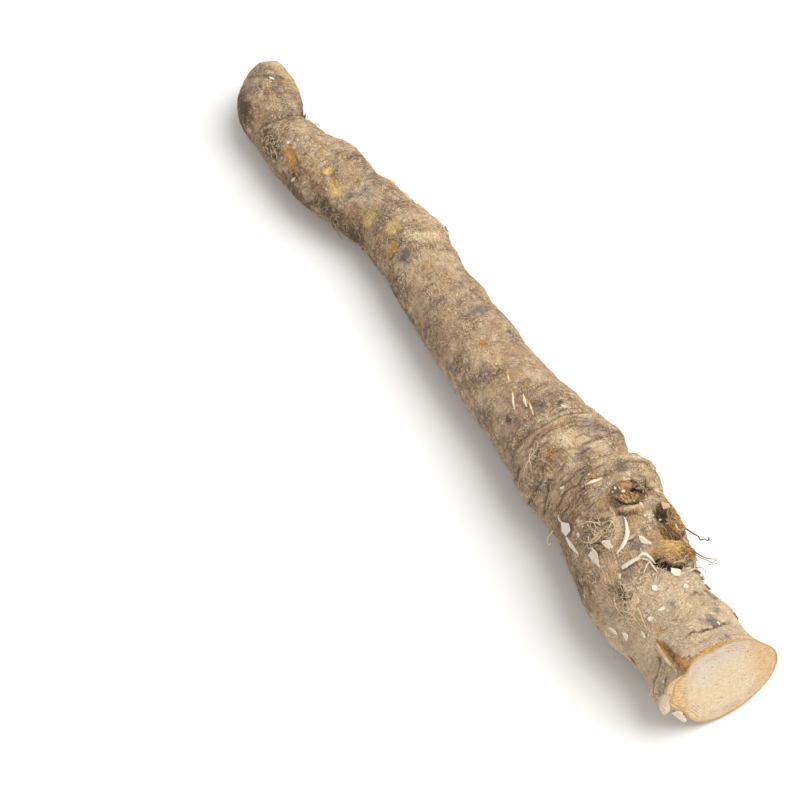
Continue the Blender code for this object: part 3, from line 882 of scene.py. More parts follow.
def through(points, count):
    """A smooth curve of count points through the given ones."""
    points = np.asarray(points, float)
    knots = np.arange(len(points), dtype=float)
    at = np.linspace(0, len(points) - 1, count)
    return np.stack([smooth(knots, points[:, k], at) for k in range(points.shape[1])], -1)


# A direction that no path follows. The noise that streaks a tube is read this far apart from tube to tube,
# and round each on a circle of this radius.
ASKEW = (0.31, -0.52, 0.79)
RUN_APART = 3.7
RUN_ROUND = 2.5


def tubes(paths, radii, sides):
    """Closed tubes: paths holds (tubes, steps, 3) numbers in mm and radii holds (tubes, steps)."""
    count, steps = radii.shape
    ahead = unit(np.gradient(paths, axis=1))
    across = unit(np.cross(ahead, ASKEW))[:, :, None]
    other = np.cross(ahead, across[:, :, 0])[:, :, None]
    angle = (np.arange(sides) * 2 * np.pi / sides)[:, None]
    rings = paths[:, :, None] + radii[..., None, None] * (across * np.cos(angle) + other * np.sin(angle))
    start = (np.arange(count) * steps * sides)[:, None, None]
    walls = (start + grid_faces(steps, sides)[None, :, ::-1]).reshape(-1, 4)
    ring = np.arange(sides)
    first = start[:, 0] + ring[None, ::-1]
    last = start[:, 0] + (steps - 1) * sides + ring[None]
    lengths = np.cumsum(np.linalg.norm(np.diff(paths, axis=1, prepend=paths[:, :1]), axis=-1), axis=1)
    run = np.zeros((count, steps, sides, 3))
    run[..., 0] = lengths[..., None]
    run[..., 1] = np.sin(angle[:, 0])
    run[..., 2] = np.arange(count)[:, None, None] * RUN_APART + np.cos(angle[:, 0]) * RUN_ROUND
    return rings.reshape(-1, 3), (walls, first, last), run.reshape(-1, 3)


def slab(top, under):
    """A thin closed slab between two grids of points of one shape."""
    rows, columns = top.shape[:2]
    lower = rows * columns
    r, k = np.meshgrid(np.arange(rows - 1), np.arange(columns - 1), indexing="ij")
    a = (r * columns + k).ravel()
    over = np.stack([a, a + columns, a + columns + 1, a + 1], -1)
    edge = np.array([*range(columns), *range(2 * columns - 1, lower, columns),
                     *range(lower - 2, lower - columns - 1, -1), *range(lower - 2 * columns, 0, -columns)])
    after = np.roll(edge, -1)
    walls = np.stack([edge, after, lower + after, lower + edge], -1)
    i, j = np.meshgrid(np.arange(rows), np.arange(columns), indexing="ij")
    run = np.stack([i, j, i * 0], -1).reshape(-1, 3)
    return (np.concatenate([top.reshape(-1, 3), under.reshape(-1, 3)]), (over, over[:, ::-1] + lower, walls),
            np.concatenate([run, run]))


# Strips have this many steps to each point of their path and some more, and these columns across. How far
# they are cupped and how uneven their edges are is given in shares of the half width.
STRIP_STEPS = 5
STRIP_MORE = 4
STRIP_COLUMNS = 5
STRIP_CUP = 0.35
STRIP_JAG = 0.2


def strip(skin, path, half_widths, thickness, twist, rng):
    """A thin curved strip along (x, turn, lift) points on the bark, lift in millimetres."""
    steps = STRIP_STEPS * len(path) + STRIP_MORE
    places = through(path, steps)
    point, out, fine = skin.read(places[:, 0], places[:, 1])
    line = point + out * (places[:, 2:] + np.maximum(fine, 0)[:, None])
    ahead = unit(np.gradient(line, axis=0))
    across = unit(np.cross(out, ahead))
    up = np.cross(ahead, across)
    turned = np.radians(np.linspace(-twist / 2, twist / 2, steps))[:, None]
    across = across * np.cos(turned) + up * np.sin(turned)
    up = np.cross(ahead, across)
    widths = np.interp(np.linspace(0, 1, steps), np.linspace(0, 1, len(half_widths)), half_widths)
    widths = widths * (1 + STRIP_JAG * rng.uniform(-1, 1, steps))
    sweep = np.linspace(-1, 1, STRIP_COLUMNS)
    top = line[:, None] + across[:, None] * (widths[:, None] * sweep)[..., None]
    top = top - up[:, None] * (STRIP_CUP * widths[:, None] * sweep ** 2)[..., None]
    return slab(top, top - up[:, None] * thickness)


# Chips: least and most number of corners (the last is left out), how far each strays round as a share of its
# sector, its reach and the roughness of the edge in shares of the size, where the rings lie from the middle
# to the edge, and the steps from corner to corner.
CHIP_CORNERS = (5, 8)
CHIP_STRAY = 0.32
CHIP_REACH = (0.75, 1.2)
CHIP_EDGE = (0.92, 1.08)
CHIP_RINGS = (0.4, 0.75, 1.0)
CHIP_STEPS = 4
# They lie as high as this share of the bark under them, sink into it by this much at most, and have this
# unevenness and thickness, in millimetres. The noise that streaks them is read up to so far apart.
CHIP_REST = 0.75
CHIP_SINK = 0.1
CHIP_UNEVEN = 0.05
CHIP_THICKNESS = (0.2, 0.45)
CHIP_APART = 40


def chip(skin, x, turn, length, width, heading, lift, curl, tilt, rng):
    """An angular chip on the bark, with its sizes, lift, curl and tilt in mm and its heading in degrees."""
    corners = rng.integers(*CHIP_CORNERS)
    angles = (np.arange(corners) + rng.uniform(-CHIP_STRAY, CHIP_STRAY, corners)) * 2 * np.pi / corners
    reach = rng.uniform(*CHIP_REACH, corners) / 2
    outline = np.stack([length * reach * np.cos(angles), width * reach * np.sin(angles)], -1)
    at = np.arange(corners * CHIP_STEPS) / CHIP_STEPS
    closed = np.concatenate([outline, outline[:1]])
    outline = np.stack([np.interp(at, np.arange(corners + 1), closed[:, k]) for k in (0, 1)], -1)
    outline = outline * rng.uniform(*CHIP_EDGE, (len(outline), 1))
    rings = outline[None] * np.array(CHIP_RINGS)[:, None, None]
    flat = np.concatenate([rings.reshape(-1, 2), [[0, 0]]])
    angle = np.radians(heading)
    along = flat[:, 0] * np.cos(angle) - flat[:, 1] * np.sin(angle)
    around = flat[:, 0] * np.sin(angle) + flat[:, 1] * np.cos(angle)
    point, out, fine = skin.read(x + along, turn + np.degrees(around / column(2, x)))
    curled = curl * (2 * flat[:, 0] / length) ** 2
    rise = np.quantile(fine, CHIP_REST) + lift + curled + tilt * 2 * flat[:, 1] / width
    rise = rise + rng.uniform(-CHIP_UNEVEN, CHIP_UNEVEN, len(flat))
    top = point + out * np.maximum(rise, fine - CHIP_SINK)[:, None]
    thickness = rng.uniform(*CHIP_THICKNESS)
    sides = len(at)
    k = np.arange(sides)
    n = (k + 1) % sides
    hub = len(CHIP_RINGS) * sides
    lower = hub + 1
    over = grid_faces(len(CHIP_RINGS), sides)
    fan = np.stack([np.full(sides, hub), k, n], -1)
    edge = hub - sides
    walls = np.stack([edge + n, edge + k, lower + edge + k, lower + edge + n], -1)
    faces = (over, fan, over[:, ::-1] + lower, fan[:, ::-1] + lower, walls)
    run = np.concatenate([flat, np.full((len(flat), 1), rng.uniform(0, CHIP_APART))], -1)
    return np.concatenate([top, top - out * thickness]), faces, np.concatenate([run, run])


# Strands: the share of its length at which each has its heading, the power by which it rises, how deep it is
# rooted in mm, its kinks in shares of its length, its girth in shares of the radius, and the share of that
# which it loses towards its end.
STRAND_TRUE = 0.3
STRAND_POWER = 0.8
STRAND_ROOTED = 0.05
STRAND_KINKS = 0.035
STRAND_GIRTHS = (0.7, 1.3)
STRAND_TAPER = 0.6
STRAND_SIDES = 3


def strands(skin, x, turn, lengths, headings, bends, rises, radius, steps, rng):
    """Fibres that leave the bark at x and turn, each turning by its bend in degrees and rising in mm."""
    s = np.linspace(0, 1, steps)
    angle = np.radians(headings[:, None] + bends[:, None] * (s - STRAND_TRUE))
    pace = lengths[:, None] / (steps - 1)
    along = np.cumsum(np.cos(angle), 1) * pace
    around = np.cumsum(np.sin(angle), 1) * pace
    turns = turn[:, None] + np.degrees(around / column(2, x)[:, None])
    point, out, fine = skin.read(x[:, None] + along, turns)
    lift = rises[:, None] * s ** STRAND_POWER - STRAND_ROOTED
    paths = point + out * (np.maximum(fine, fine[:, :1]) + lift)[..., None]
    paths[:, 1:-1] += rng.uniform(-1, 1, (len(x), steps - 2, 3)) * STRAND_KINKS * lengths[:, None, None]
    radii = radius * rng.uniform(*STRAND_GIRTHS, (len(x), 1)) * (1 - STRAND_TAPER * s)
    return tubes(paths, radii, STRAND_SIDES)


# Shavings on the knob and crown: x, turn, length and width in mm, heading in degrees, lift, curl and tilt in
# mm, tone.
SHAVINGS = (
    (84.7, -67, 8.4, 4.4, 35, 0.5, 0.4, 0.3, 1),
    (69, -44, 1.9, 1, 40, 0.1, 0.2, 0.1, 0.8),
    (91.1, -54, 2.2, 1.9, 20, 0.1, 0.2, 0.2, 0.7),
    (103.6, 5, 4.8, 1.9, 38, 0.5, 0.2, 0.3, 0.55),
    (101.2, -5.5, 3.5, 1.1, -65, 0.3, 0.2, 0.2, 0.3),
    (101.9, -46, 6, 4.4, 20, 0.3, 0.5, 0.4, 0.75),
    (101, -29, 4.2, 3, 40, 0.3, 0.3, 0.2, 0.7),
    (117, 19, 4.2, 2.8, 20, 0.8, 0.5, 0.5, 0.95),
    (114.6, 27, 2.6, 1.5, 60, 1, 0.3, 0.4, 0.8),
    (116.6, 37, 3.6, 2, -35, 0.9, 0.5, 0.6, 0.95),
    (116.2, 49, 3, 1.5, 20, 0.9, 0.4, 0.4, 0.8),
    (109.8, -31, 1.8, 1.3, 0, 0.1, 0.2, 0.1, 0.8),
    (118.2, -9, 2.4, 2, 45, 0.3, 0.3, 0.2, 1.4),
    (123.1, 20, 1.9, 1.6, 20, 0.3, 0.2, 0.1, 1.4),
    (125.5, -17, 2.8, 1.8, 80, 0.3, 0.3, 0.2, 1.5),
    (125.6, -33, 2.6, 1.9, 35, 0.3, 0.3, 0.2, 1.2),
    (118.7, -76, 2.8, 1.9, 20, 0.2, 0.3, 0.2, 1.3),
    (122.6, -68, 3, 2.3, -40, 0.3, 0.3, 0.2, 1.4),
    (128, -51, 3.2, 1.5, -20, 0.3, 0.3, 0.2, 1.2),
    (128.5, -96, 4.6, 2, -30, 0.3, 0.5, 0.4, 0.7),
    (142.3, 20, 1.4, 1, 0, 0, 0.1, 0.1, 0.8),
    (83.7, 2, 1.7, 1.4, 0, 0.9, 0.2, 0.1, 0.9),
    (90, -14, 2.6, 1.1, 10, 0.2, 0.2, 0.1, 0.5),
    (-148.3, 9, 2.6, 1.1, 65, 0.1, 0.2, 0.1, 0.9),
    (-115.9, -24, 1.9, 1.1, 60, 0.1, 0.2, 0.1, 0.8),
    (-106, -69, 2.6, 1, 70, 0.1, 0.2, 0.1, 0.7),
    (44.3, 13.8, 2.3, 0.9, 45, 0.1, 0.3, 0.2, 0.8),
)

# Strips: (x, turn, lift) points, half widths in mm along it, thickness, twist in degrees, tone.
STRIPS = (
    # the curved one beside the hollow, the stick below it and its curls
    (((93.9, -6, 0.5), (95.2, -6, 1), (97, -7, 1.3), (100, -9, 1.4), (102.9, -15, 1.2), (104.6, -24, 0.5)),
     (0.15, 0.3, 0.45, 0.7, 0.75, 0.2), 0.25, 40, 0.85),
    (((108.3, -24.5, 0.7), (108.3, -15, 1.2), (108.3, -6, 1.6)), (0.75, 0.8, 0.55), 0.35, 20, 0.7),
    (((108.2, -8, 1.5), (107.7, -4, 2.4), (107.9, 0, 2.6), (109, 5, 1.8), (110.4, 8.5, 0.7)),
     (0.25, 0.4, 0.42, 0.4, 0.12), 0.25, 60, 0.85),
    (((108.8, -5, 1.5), (109.5, -1, 1.3), (111.8, 1, 0.9), (114.4, 2, 0.2)), (0.25, 0.3, 0.32, 0.12),
     0.25, 40, 0.6),
    (((109.8, 2, 0.8), (111, -4, 0.6), (112.5, -10, 0.1)), (0.2, 0.28, 0.1), 0.22, 30, 0.55),
    # on the near side of the knob and its shoulder
    (((87, -72, 0.2), (89.5, -70, 0.5), (93, -67, 0.4), (96.5, -63, 0.1)), (0.35, 0.75, 0.8, 0.35),
     0.25, 30, 0.85),
    (((75.6, -25, 0.1), (76.2, -17, 0.5), (77, -7, 0.2)), (0.15, 0.6, 0.15), 0.25, 20, 0.7),
    (((75.5, -67, 0.1), (78.5, -70, 0.5), (82, -68, 0.3)), (0.2, 0.35, 0.3), 0.25, 30, 0.65),
    # slivers torn up from the middle
    (((20, -10.5, 0), (21.5, -13, 0.3), (23, -15.5, 0)), (0.1, 0.4, 0.1), 0.2, 10, 0.7),
    (((27.5, -20.5, 0), (29.5, -24, 0.3), (31.5, -28, 0.3), (34.1, -32, 0)), (0.15, 0.45, 0.4, 0.1),
     0.2, 10, 0.75),
    (((30.9, -11.5, 0), (33.5, -15.5, 0.35), (36.5, -19, 0)), (0.15, 0.55, 0.12), 0.2, 10, 0.8),
    (((35.4, -12.5, 0), (38, -16, 0.3), (41, -19, 0)), (0.12, 0.4, 0.1), 0.2, 10, 0.5),
    (((-52.6, -18, 0.1), (-52.2, -10, 0.3), (-51.2, -2, 0.1)), (0.2, 0.3, 0.2), 0.2, 20, 0.5),
    # the raw ridge beside the furrow of the crown, and a flap under the cut
    (((133.4, -46.8, 0), (135, -48.4, 0.3), (137.2, -49, 0)), (0.1, 0.35, 0.1), 0.4, 30, 0.6),
    (((136, -49.6, 0), (138.6, -50.2, 0.3), (141.6, -49.4, 0)), (0.1, 0.45, 0.1), 0.4, 20, 0.3),
    (((140.4, -50.4, 0), (143.4, -51.6, 0.3), (147.6, -50.8, 0)), (0.15, 0.5, 0.1), 0.4, 20, 0.5),
    (((148.4, -114, 0.8), (149.6, -119, 1.7), (150.6, -124, 2.1)), (1.7, 2.2, 1.7), 0.8, 30, 0.9),
)

# The stub of a side root at the lower end of the crown's lobe: (x, turn, lift) points, radii in mm, tone.
STUB = (((149.2, -84, -0.8), (148.8, -92, 0.2), (148, -101, 1.3), (147, -108, 2.6)),
        (1.2, 1.6, 1.75, 1.6, 0.7), 0.5)
STUB_RINGS = 30
STUB_SIDES = 24

# Rootlets: (x, turn, lift) points, radius at the base in mm, tone.
ROOTLETS = (
    (((97.5, 60, 0), (99, 63, 2.6), (100, 62, 4), (101.6, 66, 4.2), (103, 64, 5.6), (104.6, 67, 6.2),
      (105, 64, 7.2), (106.4, 65, 6.6)), 0.28, 0.05),
    (((107.8, 60, 0), (109.6, 66, 2.6), (111.2, 69, 5), (112.6, 71, 7.4)), 0.23, 0.1),
    (((108.6, 60, 0), (110.6, 65, 2.4), (112.6, 68, 5.2), (114.6, 70, 7.2), (114.4, 73, 6), (113.2, 74, 3.4)),
     0.18, 0.3),
    (((112.4, 60, 0), (114.6, 64, 1), (117.4, 66, 2.2), (118.6, 70, 1.6)), 0.16, 0.1),
    (((117, 62, 0), (119.6, 64, 1), (121.8, 63, 0.8)), 0.14, 0.2),
    (((71.5, -104, 0.1), (71.8, -108, 1.9), (73.2, -111, 3.2), (75.6, -109, 3.4), (78, -106, 2.6)),
     0.36, 1.7),
    (((-86.9, -86, 0), (-85, -96, 0.7), (-83, -105, 1.2), (-80.6, -112, 1.9)), 0.16, 0.05),
    (((-122, 62, 0), (-120.6, 66, 0.8), (-119, 68, 0.6)), 0.12, 0.2),
    (((123, -100, 0), (122.4, -108, 1.6), (121, -114, 2.4)), 0.14, 0.6),
    (((52.4, -40, 0), (53.2, -50, 0.6), (53.8, -60, 0.7), (54.2, -70, 0.3)), 0.2, 0.9),
    (((50.8, -42, 0.1), (53, -50, 0.8), (56, -57, 0.4)), 0.18, 0.9),
    (((105.2, -19, 0.2), (106, -12, 1.1), (108.2, -12, 1.2), (108.6, -18, 0.7), (106.6, -21, 0.5),
      (105.4, -15, 1)),
     0.18, 0.6),
    (((116, -40, 0.1), (117.6, -46, 0.8), (119.4, -44, 1), (119, -50, 0.7), (121.4, -52, 0.4)), 0.16, 0.7),
    (((120.5, -36, 0.1), (124, -40, 0.9), (127.5, -43, 0.5)), 0.15, 0.9),
    (((112, -44, 0.1), (115.5, -50, 0.8), (119, -54, 0.3)), 0.15, 0.8),
)

# Tufts of short fibres: x, turn, reach along in mm and round in degrees, how many, least and most length and
# rise in mm, least and most tone, radius in mm, heading in degrees or None for all headings.
TUFTS = (
    (53.4, -46, 2, 6, 26, (2.5, 6), (0.4, 1.3), (0.4, 1), 0.17, None),
    (70.5, -13, 2.2, 7, 26, (1.6, 3.6), (0.2, 0.8), (0.2, 0.8), 0.14, None),
    (95.4, -32, 3.4, 10, 46, (4, 8), (0.4, 1.4), (0.4, 1.1), 0.25, None),
    (95.4, -32, 3.6, 11, 50, (1.5, 4), (0.1, 0.5), (0, 0.7), 0.15, None),
    (114.1, -38, 3.2, 9, 60, (2, 5), (0.3, 1.2), (0, 1.2), 0.16, None),
    (118.5, -46, 4, 10, 22, (2.5, 6), (0.2, 0.9), (0.8, 1.6), 0.16, None),
    (83, 27, 1.6, 9, 80, (1.2, 3.4), (0.3, 1.4), (0, 0.9), 0.14, None),
    (-121, -50, 5, 20, 110, (1, 3), (0.1, 0.5), (0, 1.2), 0.16, None),
    (-121, -12, 6, 24, 70, (1, 3), (0.05, 0.3), (0.1, 1.1), 0.14, None),
    (-5.4, -14, 2, 7, 16, (1.6, 3.4), (0.1, 0.5), (0.3, 0.8), 0.12, None),
    (128, -50, 2, 6, 8, (2, 4), (0.1, 0.6), (0.6, 1), 0.12, None),
    (112.8, 30, 1.5, 26, 70, (0.8, 2.4), (0.3, 1.2), (0, 1), 0.12, 90),
    (-5.2, -15, 1.9, 7, 34, (1.4, 3.2), (0.2, 0.7), (0.5, 1.2), 0.16, None),
    (-9.5, -25, 4, 12, 26, (1.2, 2.6), (0.1, 0.3), (0.5, 1), 0.14, 20),
)
AMBER_TUFTS = (
    (107.2, 22, 3, 12, 150, (1.6, 4.4), (0.2, 0.9), (0.6, 1.5), 0.14, 80),
    (107.8, 42, 3.2, 16, 200, (1.6, 4), (0.2, 0.9), (0.1, 0.9), 0.13, 66),
    (99.5, 40, 4.6, 12, 220, (1.4, 3.6), (0.1, 0.5), (-0.2, 0.7), 0.12, 15),
    (86, 8, 2.8, 10, 130, (0.5, 1.3), (0.2, 0.6), (0.1, 1.2), 0.17, None),
    (93, 50, 6.5, 6, 120, (1, 2.6), (0.2, 0.8), (0.2, 1), 0.13, 20),
    (146, -46.5, 5, 4, 60, (1.5, 4), (0.05, 0.3), (0.2, 0.9), 0.13, -10),
)

# Torn bark: x, turn, length and width in mm, heading in degrees, lift, curl and tilt in mm, tone.
TORN = (
    (-133.8, 72, 5, 1.4, 80, 0.4, 0.5, 0.4, 0.3),
    (-135, 92, 4, 1.3, 70, 0.5, 0.6, 0.4, 0.2),
    (-80.5, 61, 3.6, 0.8, 60, 0.3, 0.4, 0.3, 0.9),
    (-74, 57, 3, 0.7, 30, 0.3, 0.4, 0.3, 1),
    (-71, 52, 3.8, 0.9, 40, 0.2, 0.4, 0.3, 0.7),
    (-66, 60, 3, 0.7, 20, 0.3, 0.4, 0.3, 1),
    (-58, 66, 3.6, 0.8, 30, 0.4, 0.4, 0.3, 0.9),
    (-55, 70, 3, 0.7, 60, 0.4, 0.5, 0.3, 0.4),
    (81.2, 20, 3.6, 1, 75, 0.9, 0.4, 0.5, 0.4),
    (83.4, 31, 3.2, 1, 50, 0.9, 0.5, 0.5, 0.1),
    (82.8, 35, 2.6, 0.8, 20, 0.9, 0.5, 0.5, 0.8),
    (80.6, 11, 3.6, 0.9, 85, 0.5, 0.3, 0.4, 0.6),
    (84.6, 38, 2.6, 1, 60, 0.7, 0.4, 0.4, 1.1),
    (86.8, 39, 2.4, 0.9, 30, 0.6, 0.4, 0.3, 0.5),
    (90.2, 42, 3, 1.4, 50, 0.7, 0.5, 0.5, 1.5),
    (93, 46, 2.2, 0.7, 10, 0.5, 0.4, 0.4, 0.5),
    (95, 50, 1.8, 0.7, 60, 0.5, 0.4, 0.3, 0.3),
    (98, 49, 2.8, 0.6, 20, 0.6, 0.4, 0.3, 0.9),
    (99.6, 54, 2, 0.6, -20, 0.6, 0.4, 0.3, 0.2),
    (102.6, 53, 2.6, 0.6, 35, 0.6, 0.4, 0.3, 0.7),
    (110.6, 15, 4.2, 0.9, 76, 0.6, 0.4, 0.5, 0.5),
    (112.4, 32, 5, 0.5, 82, 0.9, 0.4, 0.3, 1.2),
    (113.4, 50, 4.4, 1, 84, 0.8, 0.4, 0.5, 0.7),
    (137.8, 68, 2.4, 1, 20, 0.2, 0.3, 0.3, 0.2),
    (117.2, 61, 3, 1, 30, 0.4, 0.4, 0.4, 0.1),
    (120.4, 63, 2.2, 0.9, -20, 0.4, 0.4, 0.4, 0.3),
    (124.6, 60, 2.6, 0.8, 20, 0.3, 0.4, 0.3, 0.1),
    (110.8, 62, 2.6, 1, 60, 0.5, 0.4, 0.4, 0.6),
    (-72.1, -116, 1.6, 0.7, 90, 0.2, 0.4, 0.4, 0.1),
)

# Crumbs strewn over the crown: how many, the middle and the spread of x and of turn, and the last x. Then
# least and most size in mm, how many times as long as wide, lift, curl and tilt in mm, least and most tone.
CRUMBS = 120
CRUMB_X = (105, 22)
CRUMB_TURN = (-22, 42)
CRUMB_LAST_X = 146
CRUMB_SIZES = (0.3, 0.8)
CRUMB_STRETCH = 1.5
CRUMB_LIFTS = (0.05, 0.05, 0.05)
CRUMB_TONES = (0.2, 0.9)

# Hair roots: steps to each point of the path, the lift in mm above which they no longer follow the fine
# relief, the share of their girth left at the end, and sides.
ROOTLET_STEPS = 8
ROOTLET_CLEAR = 2
ROOTLET_END = 0.45
ROOTLET_SIDES = 6

# Fine fibres that lie on the bark: from x to x, how many, heading in degrees, least and most length in mm.
FIBRES = (
    (-160, -128, 900, 80, (0.8, 2.2)),
    (-128, -50, 2800, 80, (1, 3)),
    (-50, 44, 1600, 55, (0.8, 2.4)),
    (44, 116, 1900, 85, (0.8, 2.6)),
    (116, 150, 300, 40, (0.6, 1.6)),
)
# How far their headings stray and how far each bends, in degrees, their radius and rise in mm, and the steps
# along each. Then the share of them that is dark, and the tones of these and of the others.
FIBRE_SPREAD = 38
FIBRE_BEND = 80
FIBRE_RADIUS = 0.1
FIBRE_RISES = (0.02, 0.2)
FIBRE_STEPS = 5
DARK_SHARE = 0.28
DARK_TONES = (0, 0.3)
LIGHT_TONES = (0.5, 1)
# They keep off the places where one of these marks is stronger than this.
BARE_MARKS = ("yellow", "orange", "cream", "scar_and_shade", "bud", "crevice_shade")
BARE_LEVEL = 0.4
# This share of them stands away from the bark by so much more, in millimetres.
STRAY_SHARE = 0.06
STRAY_RISE = 0.8

# The fibres of a tuft: how far their headings stray, and how far they turn along their length, those with a
# heading and the curls, in degrees.
TUFT_SPREAD = 28
SWAY = 60
CURL = 300
TUFT_STEPS = 10

SCATTER_SEED = 47


def shavings_piece(skin, material):
    rng = np.random.default_rng(SCATTER_SEED)
    gather = Gather()
    for *sizes, tone in SHAVINGS:
        gather.add(chip(skin, *sizes, rng), tone)
    for path, half_widths, thickness, twist, tone in STRIPS:
        gather.add(strip(skin, path, half_widths, thickness, twist, rng), tone)
    path, radii, tone = STUB
    places = through(path, STUB_RINGS)
    point, out, _ = skin.read(places[:, 0], places[:, 1])
    radii = smooth(np.linspace(0, 1, len(radii)), np.array(radii), np.linspace(0, 1, STUB_RINGS))
    gather.add(tubes((point + out * places[:, 2:])[None], radii[None], STUB_SIDES), tone)
    for _ in range(CRUMBS):
        x = min(rng.normal(*CRUMB_X), CRUMB_LAST_X)
        turn = rng.normal(*CRUMB_TURN)
        size = rng.uniform(*CRUMB_SIZES)
        crumb = chip(skin, x, turn, size * CRUMB_STRETCH, size, rng.uniform(0, 180), *CRUMB_LIFTS, rng)
        gather.add(crumb, rng.uniform(*CRUMB_TONES))
    return gather.piece("shavings", material, crisp=True)


def torn_piece(skin, material):
    rng = np.random.default_rng(SCATTER_SEED + 1)
    gather = Gather()
    for *sizes, tone in TORN:
        gather.add(chip(skin, *sizes, rng), tone)
    return gather.piece("torn_bark", material, crisp=True)


def rootlets_piece(skin, material):
    gather = Gather()
    for path, radius, tone in ROOTLETS:
        places = through(path, ROOTLET_STEPS * len(path))
        point, out, fine = skin.read(places[:, 0], places[:, 1])
        line = point + out * (places[:, 2] + fine * (places[:, 2] < ROOTLET_CLEAR))[:, None]
        radii = radius * np.linspace(1, ROOTLET_END, len(line))
        gather.add(tubes(line[None], radii[None], ROOTLET_SIDES), tone)
    return gather.piece("rootlets", material)


def tufts_piece(skin, name, tufts, material, seed):
    """Fibres strewn over ovals of the bark."""
    rng = np.random.default_rng(seed)
    gather = Gather()
    for x, turn, along, around, count, lengths, rises, tones, radius, heading in tufts:
        reach = rng.uniform(0, 1, count) ** 0.5
        angle = rng.uniform(0, 2 * np.pi, count)
        if heading is None:
            headings, bend = rng.uniform(0, 360, count), CURL
        else:
            headings, bend = heading + rng.normal(0, TUFT_SPREAD, count), SWAY
        form = strands(skin, x + along * reach * np.cos(angle), turn + around * reach * np.sin(angle),
                       rng.uniform(*lengths, count), headings, rng.uniform(-1, 1, count) * bend,
                       rng.uniform(*rises, count), radius, TUFT_STEPS, rng)
        gather.add(form, np.repeat(rng.uniform(*tones, count), len(form[0]) // count))
    return gather.piece(name, material)


def fuzz_piece(skin, material):
    """Fine fibres all over the bark."""
    rng = np.random.default_rng(SCATTER_SEED + 4)
    gather = Gather()
    for start, end, count, heading, lengths in FIBRES:
        x = rng.uniform(start, end, count)
        turn = rng.uniform(-180, 180, count)
        found = marks(x, turn)
        clear = np.maximum.reduce([found[mark] for mark in BARE_MARKS]) < BARE_LEVEL
        x, turn = x[clear], turn[clear]
        count = len(x)
        rises = rng.uniform(*FIBRE_RISES, count) + STRAY_RISE * (rng.uniform(0, 1, count) < STRAY_SHARE)
        form = strands(skin, x, turn, rng.uniform(*lengths, count), rng.normal(heading, FIBRE_SPREAD, count),
                       rng.uniform(-FIBRE_BEND, FIBRE_BEND, count), rises, FIBRE_RADIUS, FIBRE_STEPS, rng)
        tones = np.where(rng.uniform(0, 1, count) < DARK_SHARE,
                         rng.uniform(*DARK_TONES, count), rng.uniform(*LIGHT_TONES, count))
        gather.add(form, np.repeat(tones, len(form[0]) // count))
    return gather.piece("bark_fuzz", material)


def tint(red, green, blue):
    """A colour given as a screen shows it, 0 to 255, as the nodes want it."""
    seen = np.array([red, green, blue]) / 255
    linear = np.where(seen <= 0.04045, seen / 12.92, ((seen + 0.055) / 1.055) ** 2.4)
    return (*linear.tolist(), 1.0)


